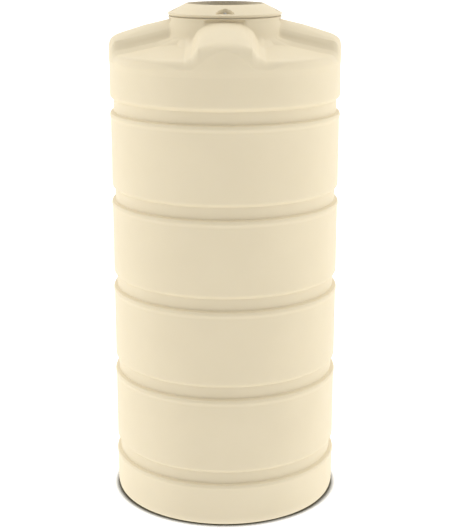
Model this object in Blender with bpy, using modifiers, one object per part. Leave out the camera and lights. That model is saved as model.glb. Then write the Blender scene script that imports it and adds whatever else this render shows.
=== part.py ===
"""A round rainwater tank: a ribbed plastic shell moulded in one piece, with a screwed lid ring
over a strainer basket, a ball valve at the bottom and an overflow near the top.

Metres, +Z up. The origin is under the middle of the base, the front faces -Y, and the outlet
and the overflow are at the back, on +Y.
"""

import math

import bmesh
import bpy
from mathutils import Matrix, Vector

# Shell: radii and heights
WALL_R = 0.601
SHELL_WALL = 0.006
BASE_EDGE = 0.015
BASE_EDGE_H = 0.030
GROOVE_COUNT = 5
GROOVE_PITCH = 0.4689
FIRST_GROOVE_Z = 0.2342
GROOVE_DEPTH = 0.016
GROOVE_LEAD_H = 0.024
GROOVE_BEND_DEPTH = 0.0056
GROOVE_BEND_H = 0.0108
GROOVE_FLOOR_H = 0.034
GROOVE_LEDGE_H = 0.014
GROOVE_LEDGE_SHARE = 0.9
BEAD_PROUD = 0.0055
BEAD_H = 0.029
TOP_SECTION_H = 0.295
SHOULDER_STEP = 0.003
SHOULDER_BAND_H = 0.040
SHOULDER_LEAN = 0.004
SHOULDER_ROUND = 0.012
ROOF_RIM_W = 0.060
ROOF_RIM_RISE = 0.0095
ROOF_SLOPE = math.radians(13.8)
NECK_R = 0.2945
NECK_FLARE = 0.0235
NECK_H = 0.112
NECK_ROUND = 0.0075
RIM_W = 0.0885

# Shell: the four ribs of the roof
RIB_COUNT = 4
RIB_SLOPE = math.radians(15.8)
RIB_BELOW_RIM = 0.0115
RIB_HALF_W = 0.162
RIB_H = 0.107
RIB_POWER = 2.2
RIB_FOOT = 0.014
RIB_ROOT = 0.050
RIB_END_PROUD = 0.0015
RIB_END_ROUND = 0.038
RIB_INSIDE_NECK = 0.006
RIB_FACE_H = 0.020
RIB_SINK_H = 0.010
RIB_CLEAR_SLOPE = math.radians(4.0)
RIB_SECTION_STEPS = 12
RIB_END_STEPS = 4

# Lid ring, its seal, its pockets and its screws
SEAL_W = 0.018
SEAL_H = 0.006
SEAL_INSET = 0.0065
LIP_H = 0.011
LIP_W = 0.022
LID_BORE_INSET = 0.0057
LID_H = 0.058
LID_WALL = 0.005
LID_TOP_T = 0.006
LID_EDGE = 0.0015
POCKET_COUNT = 4
POCKET_R = 0.0475
POCKET_INSET = 0.009
POCKET_FLOOR_H = 0.015
POCKET_WALL = 0.004
DRIVER_R = 0.017
SCREW_INSET = 0.045
BOSS_R = 0.009
SCREW_R = 0.0016
SCREW_HEAD_R = 0.008
SCREW_HEAD_H = 0.005
SCREW_HEAD_CHAMFER = 0.0015
SCREW_LENGTH = 0.040
SCREW_SOCKET_R = 0.0032
SCREW_SOCKET_DEPTH = 0.003
WASHER_R = 0.010
WASHER_T = 0.0015

# Strainer basket and the mesh in its floor
BASKET_CLEARANCE = 0.008
BASKET_RIM_W = 0.032
BASKET_RIM_T = 0.003
BASKET_WALL = 0.003
BASKET_DEPTH = 0.140
BASKET_TAPER = 0.010
BASKET_FLOOR_LIP = 0.016
SLOT_COUNT = 20
SLOT_W = 0.012
SLOT_H = 0.080
MESH_T = 0.002
MESH_GAP = 0.036
MESH_PITCH = 0.050
MESH_BORDER = 0.012

# Fittings: the pads that the shell has for them
PAD_PROUD = 0.0035
PAD_T = 0.016
PAD_REACH = 0.064
PAD_MARGIN = 0.013
FITTING_CLEARANCE = 0.001
FLANGE_T = 0.009
FLANGE_CHAMFER = 0.003
GASKET_T = 0.003
BACKNUT_T = 0.014
BACKNUT_W = 0.016
TAIL_IN = 0.032

# Bottom outlet and its ball valve
OUTLET_Z = 0.092
OUTLET_TUBE_R = 0.030
OUTLET_BORE_R = 0.024
OUTLET_FLANGE_R = 0.052
SPIGOT_L = 0.018
VALVE_R = 0.041
VALVE_HEX_R = 0.046
VALVE_HEX_L = 0.020
BALL_R = 0.0315
BALL_CLEARANCE = 0.001
STEP_T = 0.006
SEAT_T = 0.0025
SEAT_W = 0.0075
SEAT_LAND = 0.0019
END_CAP_FLANGE_T = 0.010
END_CAP_PLUG_L = 0.025
STEM_R = 0.007
STEM_SEAT_DEPTH = 0.005
STEM_CHAMFER = 0.001
VALVE_BOSS_R = 0.015
VALVE_BOSS_H = 0.014
PACKING_W = 0.004
PACKING_H = 0.006
GLAND_R = 0.0135
GLAND_T = 0.006
LEVER_L = 0.125
LEVER_W = 0.024
LEVER_HUB_R = 0.015
LEVER_WAIST_W = 0.016
LEVER_WAIST_X = 0.044
LEVER_T = 0.004
LEVER_NUT_R = 0.0115
LEVER_NUT_T = 0.006
STEM_END = 0.003

# Overflow near the top
OVERFLOW_TUBE_R = 0.045
OVERFLOW_TUBE_WALL = 0.0035
OVERFLOW_FLANGE_R = 0.064
OVERFLOW_TUBE_L = 0.060
SCREEN_CAP_WALL = 0.004
SCREEN_CAP_L = 0.022
SCREEN_CAP_LIP = 0.0065
SCREEN_T = 0.0015
SCREEN_GAP = 0.012
SCREEN_PITCH = 0.0165
SCREEN_BORDER = 0.005

# Faces that touch keep this gap
GAP = 0.0003
BIG_STEPS = 40
SMALL_STEPS = 20
OVERRUN = 0.020
JOIN_OVERLAP = 0.002
SHARP_ANGLE = math.radians(30)


def ball_reach(radius):
    """How far from the ball's centre a seat's face stands, at a radius from the bore's axis:
    clear of the ball there and between the corners of the turned ring, where it is nearest."""
    nearest = radius * math.cos(HALF_STEP)
    return math.sqrt((BALL_R + 2 * GAP) ** 2 - nearest**2)


# Places that follow from the sizes above
HALF_STEP = math.pi / SMALL_STEPS
ROUND_SHARE = 1 - math.sqrt(0.5)
GROOVE_FLOOR_R = WALL_R - GROOVE_DEPTH
TOP_GROOVE_Z = FIRST_GROOVE_Z + (GROOVE_COUNT - 1) * GROOVE_PITCH
SHOULDER_R = WALL_R + SHOULDER_STEP
SHOULDER_Z = TOP_GROOVE_Z + TOP_SECTION_H
ROOF_EDGE_R = SHOULDER_R - SHOULDER_LEAN
ROOF_RIM_R = ROOF_EDGE_R - SHOULDER_ROUND - ROOF_RIM_W
ROOF_RIM_Z = SHOULDER_Z + ROOF_RIM_RISE
NECK_FOOT_R = NECK_R - NECK_FLARE
NECK_FOOT_Z = ROOF_RIM_Z + (ROOF_RIM_R - NECK_FOOT_R) * math.tan(ROOF_SLOPE)
NECK_TOP = NECK_FOOT_Z + NECK_H
RIM_FLAT_R = NECK_R - NECK_ROUND
MOUTH_R = NECK_R - RIM_W
LID_BORE_R = MOUTH_R - LID_BORE_INSET
RIB_INNER_R = math.sqrt(NECK_FOOT_R**2 - (RIB_HALF_W + RIB_FOOT) ** 2) - RIB_INSIDE_NECK
LID_BOTTOM = NECK_TOP + SEAL_H + 2 * GAP
LID_TOP = LID_BOTTOM + LID_H
POCKET_FLOOR_Z = LID_BOTTOM + POCKET_FLOOR_H
POCKET_CENTRE_R = NECK_R - POCKET_INSET
SCREW_CENTRE_R = NECK_R - SCREW_INSET
BASKET_R = MOUTH_R - BASKET_CLEARANCE
BASKET_RIM_TOP = NECK_TOP + GAP + BASKET_RIM_T
PAD_Y = SHOULDER_R + PAD_PROUD
PAD_INNER_Y = PAD_Y - PAD_T
FLANGE_Y = PAD_Y + GASKET_T + 2 * GAP
FLANGE_FACE_Y = FLANGE_Y + FLANGE_T
VALVE_Y = FLANGE_FACE_Y + GAP
SEAT_Y = VALVE_Y + SPIGOT_L + STEP_T
SEAT_OUTER_R = BALL_R + BALL_CLEARANCE - GAP
SEAT_INNER_R = SEAT_OUTER_R - SEAT_W
BALL_Y = SEAT_Y + GAP + SEAT_T + ball_reach(SEAT_INNER_R)
END_CAP_Y = 2 * BALL_Y - SEAT_Y
VALVE_END_Y = END_CAP_Y + END_CAP_PLUG_L
PLAIN_START_Z = TOP_GROOVE_Z + GROOVE_LEDGE_SHARE * GROOVE_LEDGE_H + GROOVE_FLOOR_H + GROOVE_LEAD_H
OVERFLOW_Z = (PLAIN_START_Z + SHOULDER_Z - SHOULDER_BAND_H) / 2
RIB_CREST_Z = NECK_TOP - RIB_BELOW_RIM

# Colour, roughness and metallic value of each material
LOOKS = {
    "cream_plastic": ((0.72, 0.64, 0.46, 1.0), 0.45, 0.0),
    "black_plastic": ((0.03, 0.03, 0.032, 1.0), 0.5, 0.0),
    "black_rubber": ((0.02, 0.02, 0.02, 1.0), 0.8, 0.0),
    "pale_silicone": ((0.66, 0.59, 0.44, 1.0), 0.6, 0.0),
    "stainless": ((0.55, 0.55, 0.54, 1.0), 0.35, 1.0),
    "brass": ((0.62, 0.47, 0.22, 1.0), 0.35, 1.0),
    "white_seat": ((0.80, 0.80, 0.78, 1.0), 0.4, 0.0),
    "red_lever": ((0.55, 0.04, 0.03, 1.0), 0.45, 0.0),
}

for old in list(bpy.data.objects):
    bpy.data.objects.remove(old, do_unlink=True)

PARTS = bpy.data.collections.new("round_water_tank")
CUTTERS = bpy.data.collections.new("cutters")
bpy.context.scene.collection.children.link(PARTS)
bpy.context.scene.collection.children.link(CUTTERS)


def material(name):
    """The named material, made once."""
    if name in bpy.data.materials:
        return bpy.data.materials[name]
    colour, roughness, metallic = LOOKS[name]
    made = bpy.data.materials.new(name)
    made.use_nodes = True
    shader = made.node_tree.nodes["Principled BSDF"]
    shader.inputs["Base Color"].default_value = colour
    shader.inputs["Roughness"].default_value = roughness
    shader.inputs["Metallic"].default_value = metallic
    made.diffuse_color = colour
    return made


def add_object(name, mesh, look=None):
    """A new part with a material, or a cutter where no look is given."""
    made = bpy.data.objects.new(name, mesh)
    if look is None:
        CUTTERS.objects.link(made)
        made.hide_render = True
        made.display_type = "WIRE"
        return made
    PARTS.objects.link(made)
    made.data.materials.append(material(look))
    return made


def turned(name, profile, look=None, steps=SMALL_STEPS, ring=False):
    """A solid turned about Z. The profile of (radius, height) points runs down its outer side;
    a ring's profile closes on itself, and any other starts and ends on the axis."""
    count = len(profile)
    edges = [(i, i + 1) for i in range(count - 1)]
    if ring:
        edges.append((count - 1, 0))
    mesh = bpy.data.meshes.new(name)
    mesh.from_pydata([(r, 0.0, z) for r, z in profile], edges, [])
    made = add_object(name, mesh, look)
    screw = made.modifiers.new("turn", "SCREW")
    screw.steps = steps
    screw.render_steps = steps
    screw.use_merge_vertices = True
    screw.merge_threshold = 0.00002
    screw.use_smooth_shade = True
    return made


def plug(name, radius, bottom, top, steps=SMALL_STEPS):
    """A plain cylinder along Z, used as a cutter or as something to join."""
    return turned(name, [(0.0, top), (radius, top), (radius, bottom), (0.0, bottom)], None, steps)


def outline(name, points, thickness, look=None):
    """A flat outline in its own XY plane, extruded both ways along Z to the given thickness."""
    curve = bpy.data.curves.new(name + "_outline", "CURVE")
    curve.dimensions = "2D"
    curve.fill_mode = "BOTH"
    curve.extrude = thickness / 2
    spline = curve.splines.new("POLY")
    spline.points.add(len(points) - 1)
    for point, (x, y) in zip(spline.points, points):
        point.co = (x, y, 0.0, 1.0)
    spline.use_cyclic_u = True
    drawn = bpy.data.objects.new(name + "_outline", curve)
    PARTS.objects.link(drawn)
    solid = as_mesh(drawn)
    return add_object(name, solid, look)


def as_mesh(drawn):
    """The evaluated mesh of a curve object, with its caps welded. The curve is removed."""
    bpy.context.view_layer.update()
    seen = drawn.evaluated_get(bpy.context.evaluated_depsgraph_get())
    mesh = bpy.data.meshes.new_from_object(seen)
    mesh.materials.clear()
    shape = bmesh.new()
    shape.from_mesh(mesh)
    bmesh.ops.remove_doubles(shape, verts=shape.verts, dist=0.00001)
    bmesh.ops.recalc_face_normals(shape, faces=shape.faces)
    shape.to_mesh(mesh)
    shape.free()
    bpy.data.objects.remove(drawn, do_unlink=True)
    return mesh


def box(name, size, centre, look=None):
    """A box of the given size about its centre."""
    shape = bmesh.new()
    bmesh.ops.create_cube(shape, size=1.0, matrix=Matrix.Diagonal((*size, 1.0)))
    bmesh.ops.translate(shape, verts=shape.verts, vec=Vector(centre))
    mesh = bpy.data.meshes.new(name)
    shape.to_mesh(mesh)
    shape.free()
    return add_object(name, mesh, look)


def boolean(target, tool, operation, solver="EXACT"):
    """Cuts target with tool, joins tool to it, or keeps what both share."""
    modifier = target.modifiers.new(operation.lower() + "_" + tool.name, "BOOLEAN")
    modifier.operation = operation
    modifier.solver = solver
    modifier.object = tool
    return target


def cut(target, *tools, solver="EXACT"):
    for tool in tools:
        boolean(target, tool, "DIFFERENCE", solver)
    return target


def join(target, *tools, solver="EXACT"):
    for tool in tools:
        boolean(target, tool, "UNION", solver)
    return target


def around(angle, radius=0.0, height=0.0, spin=0.0):
    """A turn about Z, then the place that this radius and height give, and a spin on that spot."""
    place = Matrix.Rotation(angle, 4, "Z") @ Matrix.Translation((radius, 0.0, height))
    return place @ Matrix.Rotation(spin, 4, "Z")


def towards_back(y, z):
    """Carries a part that is made along its own +Z to the axis of a fitting, along +Y."""
    return Matrix.Translation((0.0, y, z)) @ Matrix.Rotation(-math.pi / 2, 4, "X")


def hexagon(across_corners):
    return [
        (across_corners * math.cos(i * math.pi / 3), across_corners * math.sin(i * math.pi / 3))
        for i in range(6)
    ]


def smooth_group():
    """Shades faces smooth, except across edges that bend more than the sharp angle."""
    group = bpy.data.node_groups.new("smooth_by_angle", "GeometryNodeTree")
    group.interface.new_socket("Geometry", in_out="INPUT", socket_type="NodeSocketGeometry")
    group.interface.new_socket("Geometry", in_out="OUTPUT", socket_type="NodeSocketGeometry")
    start = group.nodes.new("NodeGroupInput")
    end = group.nodes.new("NodeGroupOutput")
    bend = group.nodes.new("GeometryNodeInputMeshEdgeAngle")
    sharp = group.nodes.new("FunctionNodeCompare")
    sharp.operation = "GREATER_THAN"
    sharp.inputs["B"].default_value = SHARP_ANGLE
    faces = group.nodes.new("GeometryNodeSetShadeSmooth")
    faces.domain = "FACE"
    edges = group.nodes.new("GeometryNodeSetShadeSmooth")
    edges.domain = "EDGE"
    edges.inputs["Shade Smooth"].default_value = False
    link = group.links.new
    link(start.outputs["Geometry"], faces.inputs["Geometry"])
    link(faces.outputs["Geometry"], edges.inputs["Geometry"])
    link(bend.outputs["Unsigned Angle"], sharp.inputs["A"])
    link(sharp.outputs["Result"], edges.inputs["Selection"])
    link(edges.outputs["Geometry"], end.inputs["Geometry"])
    return group


# Shell

def groove(height, plain):
    """One groove from its upper to its lower end: a rounded lead, a flat floor, a sloping ledge
    and a bead below it. A plain one has no rounding and no bead."""
    floor_bottom = height + GROOVE_LEDGE_SHARE * GROOVE_LEDGE_H
    floor_top = floor_bottom + GROOVE_FLOOR_H
    ledge_end = floor_bottom - GROOVE_LEDGE_H
    lead = [(WALL_R, floor_top + GROOVE_LEAD_H)]
    bead = []
    if not plain:
        lead.append((WALL_R - GROOVE_BEND_DEPTH, floor_top + GROOVE_BEND_H))
        bead = [(WALL_R + BEAD_PROUD, ledge_end - BEAD_H / 2), (WALL_R, ledge_end - BEAD_H)]
    floor = [(GROOVE_FLOOR_R, floor_top), (GROOVE_FLOOR_R, floor_bottom)]
    return [*lead, *floor, (WALL_R, ledge_end), *bead]


def shell_profile(plain=False):
    """The outside of the shell without its ribs, from the middle of the top to that of the base.
    The cavity is made from the plain one."""
    profile = [
        (0.0, NECK_TOP),
        (RIM_FLAT_R, NECK_TOP),
        (NECK_R, NECK_TOP - NECK_ROUND),
        (NECK_FOOT_R, NECK_FOOT_Z),
        (ROOF_RIM_R, ROOF_RIM_Z),
        (ROOF_EDGE_R - SHOULDER_ROUND, SHOULDER_Z),
        (ROOF_EDGE_R - ROUND_SHARE * SHOULDER_ROUND, SHOULDER_Z - ROUND_SHARE * SHOULDER_ROUND),
        (ROOF_EDGE_R, SHOULDER_Z - SHOULDER_ROUND),
        (SHOULDER_R, SHOULDER_Z - SHOULDER_BAND_H),
    ]
    for index in reversed(range(GROOVE_COUNT)):
        points = groove(FIRST_GROOVE_Z + index * GROOVE_PITCH, plain)
        if index == GROOVE_COUNT - 1:
            points[0] = (SHOULDER_R, points[0][1])
        profile += points
    profile.append((WALL_R, BASE_EDGE_H))
    if not plain:
        for turn in (math.radians(30), math.radians(60)):
            inward = BASE_EDGE * (1 - math.cos(turn))
            profile.append((WALL_R - inward, BASE_EDGE_H * (1 - math.sin(turn))))
    return [*profile, (WALL_R - BASE_EDGE, 0.0), (0.0, 0.0)]


def inset_profile(profile, depth):
    """The profile moved inwards by the wall: each corner stays on the two moved sides it joins."""
    moved = []
    for i, (r, z) in enumerate(profile):
        before = Vector(profile[max(i - 1, 0)])
        after = Vector(profile[min(i + 1, len(profile) - 1)])
        here = Vector((r, z))
        sides = [side.normalized() for side in (here - before, after - here) if side.length > 0]
        inward = [Vector((side.y, -side.x)) for side in sides]
        total = sum(inward, Vector((0.0, 0.0)))
        scale = len(inward) / total.length_squared if total.length_squared else 0.0
        point = here + total * (depth * scale)
        moved.append((max(point.x, 0.0), point.y))
    return moved


def rib_section(shrink):
    """Half of a superellipse, standing on its feet, as (across, up) points about the crest."""
    half_width = RIB_HALF_W - shrink
    height = RIB_H
    points = []
    for step in range(RIB_SECTION_STEPS + 1):
        turn = math.pi * step / RIB_SECTION_STEPS
        across = abs(math.cos(turn)) ** (2 / RIB_POWER) * math.copysign(1.0, math.cos(turn))
        up = math.sin(turn) ** (2 / RIB_POWER) if 0 < step < RIB_SECTION_STEPS else 0.0
        points.append((half_width * across, height * (up - 1.0) - shrink))
    foot = half_width + RIB_FOOT
    bottom = -height - RIB_ROOT
    level = -height - shrink
    return [(foot, bottom), (foot, level), *points, (-foot, level), (-foot, bottom)]


def rib_bar(name, shrink, outer_r):
    """A rib as a bar of its section, whose crest falls along +X from the neck to the wall."""
    length = outer_r - RIB_INNER_R
    bar = outline(name, rib_section(shrink), length)
    # The section's across, up and along become Y, Z and X, and the bar is sheared to the slope.
    place = Matrix(((0, 0, 1, (outer_r + RIB_INNER_R) / 2), (1, 0, 0, 0), (0, 1, 0, 0), (0, 0, 0, 1)))
    slope = math.tan(RIB_SLOPE)
    shear = Matrix.Identity(4)
    shear[2][0] = -slope
    lift = Matrix.Translation((0.0, 0.0, RIB_CREST_Z + slope * NECK_R))
    bar.data.transform(lift @ shear @ place)
    return bar


def rib_envelope(name, shrink):
    """A turned solid that ends the ribs: flat inside the neck, clear of the crests, round at
    their ends, then down the wall and into it."""
    end_r = SHOULDER_R + RIB_END_PROUD - shrink
    round_r = RIB_END_ROUND - shrink
    centre_r = end_r - round_r
    crest = RIB_CREST_Z + (NECK_R - centre_r) * math.tan(RIB_SLOPE)
    centre_z = crest - RIB_END_ROUND / math.cos(RIB_SLOPE)
    arc = []
    for step in range(RIB_END_STEPS + 1):
        turn = (math.pi / 2 - RIB_SLOPE) * (1 - step / RIB_END_STEPS)
        arc.append((centre_r + round_r * math.cos(turn), centre_z + round_r * math.sin(turn)))
    top_r, top_z = arc[0]
    cap_z = NECK_TOP - RIB_BELOW_RIM / 2 - shrink
    cap_r = top_r - (cap_z - top_z) / math.tan(RIB_SLOPE + RIB_CLEAR_SLOPE)
    band_end = SHOULDER_Z - SHOULDER_BAND_H
    sunk_r = end_r - 2 * RIB_END_PROUD
    profile = [
        (0.0, cap_z),
        (cap_r, cap_z),
        *arc,
        (end_r, band_end + RIB_FACE_H),
        (sunk_r, band_end - RIB_SINK_H),
        (sunk_r, band_end - SHOULDER_BAND_H),
        (0.0, band_end - SHOULDER_BAND_H),
    ]
    return turned(name, profile, None, BIG_STEPS)


def ribs(name, shrink):
    """The four ribs, each a bar cut to the envelope."""
    envelope = rib_envelope(name + "_envelope", shrink)
    made = []
    for index in range(RIB_COUNT):
        bar = rib_bar(f"{name}_{index + 1}", shrink, SHOULDER_R + OVERRUN)
        bar.matrix_world = around(2 * math.pi * index / RIB_COUNT)
        boolean(bar, envelope, "INTERSECT")
        made.append(bar)
    return made


def pad(name, radius, start, end, height):
    """A flat round pad for a fitting on the back wall, as a plug along +Y."""
    made = plug(name, radius, start, end)
    made.matrix_world = towards_back(0.0, height)
    return made


def tank_shell():
    """The one-piece shell: outside, less a cavity that keeps the wall, and the holes in it."""
    solver = "MANIFOLD"
    shell = turned("tank_shell", shell_profile(), "cream_plastic", BIG_STEPS)
    cavity = turned("cavity", inset_profile(shell_profile(plain=True), SHELL_WALL), None, BIG_STEPS)
    join(shell, *ribs("rib", 0.0), solver=solver)
    join(cavity, *ribs("rib_cavity", SHELL_WALL), solver=solver)
    fittings = (
        ("outlet", OUTLET_FLANGE_R, OUTLET_TUBE_R, OUTLET_Z),
        ("overflow", OVERFLOW_FLANGE_R, OVERFLOW_TUBE_R, OVERFLOW_Z),
    )
    deep = PAD_Y - PAD_REACH
    for name, flange_r, tube_r, height in fittings:
        pad_r = flange_r + PAD_MARGIN
        join(shell, pad(name + "_pad", pad_r, deep, PAD_Y, height), solver=solver)
        inside = pad(name + "_pad_inside", pad_r, PAD_INNER_Y, PAD_Y + OVERRUN, height)
        cut(cavity, inside, solver=solver)
    below = NECK_TOP - SHELL_WALL - OVERRUN
    above = NECK_TOP + OVERRUN
    holes = [plug("mouth", MOUTH_R, below, above, BIG_STEPS)]
    for name, flange_r, tube_r, height in fittings:
        holes.append(pad(name + "_hole", tube_r + FITTING_CLEARANCE, deep, PAD_Y + OVERRUN, height))
    for index in range(POCKET_COUNT):
        hole = plug(f"rim_hole_{index + 1}", SCREW_R + GAP, below, above, 12)
        hole.matrix_world = around(pocket_angle(index), SCREW_CENTRE_R, spin=HALF_STEP)
        holes.append(hole)
    return cut(shell, cavity, *holes, solver=solver)


# Lid ring

def pocket_angle(index):
    """The first pocket faces the front."""
    return -math.pi / 2 + 2 * math.pi * index / POCKET_COUNT


def chamfer_z(radius):
    """The height of the lid ring's sloping top at a radius."""
    share = (NECK_R - radius) / (NECK_R - LID_BORE_R)
    return LID_BOTTOM + LIP_H + share * (LID_H - LIP_H)


def lid_seal():
    outer = RIM_FLAT_R - SEAL_INSET + NECK_ROUND
    inner = outer - SEAL_W
    bottom = NECK_TOP + GAP
    profile = [(outer, bottom + SEAL_H), (outer, bottom), (inner, bottom), (inner, bottom + SEAL_H)]
    return turned("lid_seal", profile, "pale_silicone", BIG_STEPS, ring=True)


def keyhole(extra):
    """The pocket's outline seen from above, the driver's round hole at its inner side (towards
    -X), both made larger by extra. It is centred on the pocket."""
    apart = POCKET_CENTRE_R - SCREW_CENTRE_R
    big = POCKET_R + extra
    small = DRIVER_R + extra
    crossing = (apart**2 + big**2 - small**2) / (2 * apart)
    open_angle = math.acos(crossing / big) if crossing < big else 0.0
    points = arc_points(0.0, big, math.pi + open_angle, 3 * math.pi - open_angle, 17)
    if open_angle:
        reach = math.acos(max(-1.0, min(1.0, (crossing - apart) / small)))
        points += arc_points(-apart, small, math.pi - reach, math.pi + reach, 7)[1:-1]
    else:
        points = points[:-1]
    return points


def arc_points(centre, radius, start, end, steps):
    """Points of an arc about (centre, 0), both ends included."""
    turns = [start + (end - start) * step / steps for step in range(steps + 1)]
    return [(centre + radius * math.cos(turn), radius * math.sin(turn)) for turn in turns]


def pocket_shape(name, index, extra, bottom, top):
    """A pocket, or with extra the wall about it, as a solid between two heights."""
    shape = outline(f"{name}_{index + 1}", keyhole(extra), top - bottom)
    shape.matrix_world = around(pocket_angle(index), POCKET_CENTRE_R, (bottom + top) / 2)
    return shape


def lid_ring():
    """A hollow ring: a lip on the seal, a sloping top and a sleeve that holds the basket down.
    Each pocket has its own wall and floor under the sloping top, and a boss for its screw."""
    sleeve_bottom = BASKET_RIM_TOP + GAP
    hollow_in = LID_BORE_R + LID_WALL
    hollow_out = NECK_R - LIP_W
    profile = [
        (LID_BORE_R + LID_EDGE, LID_TOP),
        (NECK_R, LID_BOTTOM + LIP_H),
        (NECK_R, LID_BOTTOM),
        (hollow_out, LID_BOTTOM),
        (hollow_out, chamfer_z(hollow_out) - LID_TOP_T),
        (hollow_in, chamfer_z(hollow_in) - LID_TOP_T),
        (hollow_in, sleeve_bottom),
        (LID_BORE_R, sleeve_bottom),
        (LID_BORE_R, LID_TOP - LID_EDGE),
    ]
    ring = turned("lid_ring", profile, "cream_plastic", BIG_STEPS, ring=True)
    core_in = LID_BORE_R + LID_WALL / 2
    core_out = NECK_R - LIP_W / 2
    core_profile = [
        (core_in, chamfer_z(core_in) - LID_TOP_T / 2),
        (core_out, chamfer_z(core_out) - LID_TOP_T / 2),
        (core_out, LID_BOTTOM - OVERRUN),
        (core_in, LID_BOTTOM - OVERRUN),
    ]
    core = turned("lid_core", core_profile, None, BIG_STEPS, ring=True)
    # Each pocket is centred on one of the ring's flats.
    for made in (ring, core):
        made.matrix_world = around(math.pi / BIG_STEPS)
    above = LID_TOP + OVERRUN
    for index in range(POCKET_COUNT):
        wall = pocket_shape("pocket_wall", index, POCKET_WALL, POCKET_FLOOR_Z - POCKET_WALL, above)
        boolean(wall, core, "INTERSECT")
        join(ring, wall, solver="MANIFOLD")
    holes = []
    for index in range(POCKET_COUNT):
        boss = plug(f"boss_{index + 1}", BOSS_R, NECK_TOP + GAP, POCKET_FLOOR_Z - POCKET_WALL / 2)
        screw_hole = plug(f"screw_hole_{index + 1}", SCREW_R + GAP, NECK_TOP - OVERRUN, above, 12)
        for made in (boss, screw_hole):
            made.matrix_world = around(pocket_angle(index), SCREW_CENTRE_R, spin=HALF_STEP)
        join(ring, boss, solver="MANIFOLD")
        holes += [pocket_shape("pocket", index, 0.0, POCKET_FLOOR_Z, above), screw_hole]
    return cut(ring, *holes, solver="MANIFOLD")


def lid_screws():
    """A washer and a socket-head screw in each pocket. The screw goes down through the boss and
    the neck's rim."""
    washer_profile = [
        (WASHER_R, WASHER_T),
        (WASHER_R, 0.0),
        (SCREW_R + GAP, 0.0),
        (SCREW_R + GAP, WASHER_T),
    ]
    washer_z = POCKET_FLOOR_Z + GAP
    head_z = washer_z + WASHER_T + GAP
    socket_bottom = SCREW_HEAD_H - SCREW_SOCKET_DEPTH
    screw_profile = [
        (0.0, socket_bottom),
        (SCREW_SOCKET_R, socket_bottom),
        (SCREW_SOCKET_R, SCREW_HEAD_H),
        (SCREW_HEAD_R - SCREW_HEAD_CHAMFER, SCREW_HEAD_H),
        (SCREW_HEAD_R, SCREW_HEAD_H - SCREW_HEAD_CHAMFER),
        (SCREW_HEAD_R, 0.0),
        (SCREW_R, 0.0),
        (SCREW_R, SCREW_R - SCREW_LENGTH),
        (0.0, -SCREW_LENGTH),
    ]
    for index in range(POCKET_COUNT):
        angle = pocket_angle(index)
        washer = turned(f"lid_washer_{index + 1}", washer_profile, "stainless", 16, ring=True)
        washer.matrix_world = around(angle, SCREW_CENTRE_R, washer_z)
        screw = turned(f"lid_screw_{index + 1}", screw_profile, "stainless", 12)
        screw.matrix_world = around(angle, SCREW_CENTRE_R, head_z)


# Strainer

def basket_r(depth):
    """The outer radius of the basket's wall at a depth below its rim."""
    return BASKET_R - BASKET_TAPER * depth / BASKET_DEPTH


def strainer_basket():
    """A basket whose rim rests on the neck, with slots in its wall and a lip for the mesh."""
    top = BASKET_RIM_TOP
    bottom = top - BASKET_DEPTH
    foot_r = basket_r(BASKET_DEPTH)
    profile = [
        (BASKET_R + BASKET_RIM_W, top),
        (BASKET_R + BASKET_RIM_W, top - BASKET_RIM_T),
        (BASKET_R, top - BASKET_RIM_T),
        (foot_r, bottom),
        (foot_r - BASKET_WALL - BASKET_FLOOR_LIP, bottom),
        (foot_r - BASKET_WALL - BASKET_FLOOR_LIP, bottom + BASKET_WALL),
        (foot_r - BASKET_WALL, bottom + BASKET_WALL),
        (BASKET_R - BASKET_WALL, top),
    ]
    basket = turned("strainer_basket", profile, "black_plastic", BIG_STEPS, ring=True)
    reach = 2 * BASKET_TAPER + 4 * BASKET_WALL
    for index in range(SLOT_COUNT):
        centre = (BASKET_R - BASKET_TAPER / 2, 0.0, top - BASKET_DEPTH / 2)
        slot = box(f"slot_{index + 1}", (reach, SLOT_W, SLOT_H), centre)
        slot.matrix_world = around(2 * math.pi * (index + 0.5) / SLOT_COUNT)
        cut(basket, slot)
    return basket


def grid_holes(name, radius, gap, pitch, border):
    """Square holes on a grid, as many as fit whole inside a disc less its border, as one cutter."""
    shape = bmesh.new()
    reach = int(radius / pitch)
    for i in range(-reach, reach + 1):
        for j in range(-reach, reach + 1):
            corner = math.hypot(abs(i) * pitch + gap / 2, abs(j) * pitch + gap / 2)
            if corner > radius - border:
                continue
            place = Matrix.Translation((i * pitch, j * pitch, 0.0))
            stretch = Matrix.Diagonal((gap, gap, OVERRUN, 1.0))
            bmesh.ops.create_cube(shape, size=1.0, matrix=place @ stretch)
    mesh = bpy.data.meshes.new(name)
    shape.to_mesh(mesh)
    shape.free()
    return add_object(name, mesh)


def strainer_mesh():
    """The wire mesh on the basket's floor lip, as a plate with a grid of gaps."""
    floor = BASKET_RIM_TOP - BASKET_DEPTH + BASKET_WALL + GAP
    radius = basket_r(BASKET_DEPTH) - BASKET_WALL - GAP
    profile = [(0.0, MESH_T), (radius, MESH_T), (radius, 0.0), (0.0, 0.0)]
    mesh = turned("strainer_mesh", profile, "stainless", BIG_STEPS)
    holes = grid_holes("mesh_gaps", radius, MESH_GAP, MESH_PITCH, MESH_BORDER)
    place = Matrix.Translation((0.0, 0.0, floor))
    mesh.matrix_world = place
    holes.matrix_world = place
    return cut(mesh, holes)


# Fittings through the back wall

def flat_ring(name, inner, outer, thickness, y, z, look):
    """A flat ring about a fitting's axis, starting at y."""
    profile = [(outer, thickness), (outer, 0.0), (inner, 0.0), (inner, thickness)]
    made = turned(name, profile, look, SMALL_STEPS, ring=True)
    made.matrix_world = towards_back(y, z)
    return made


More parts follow.
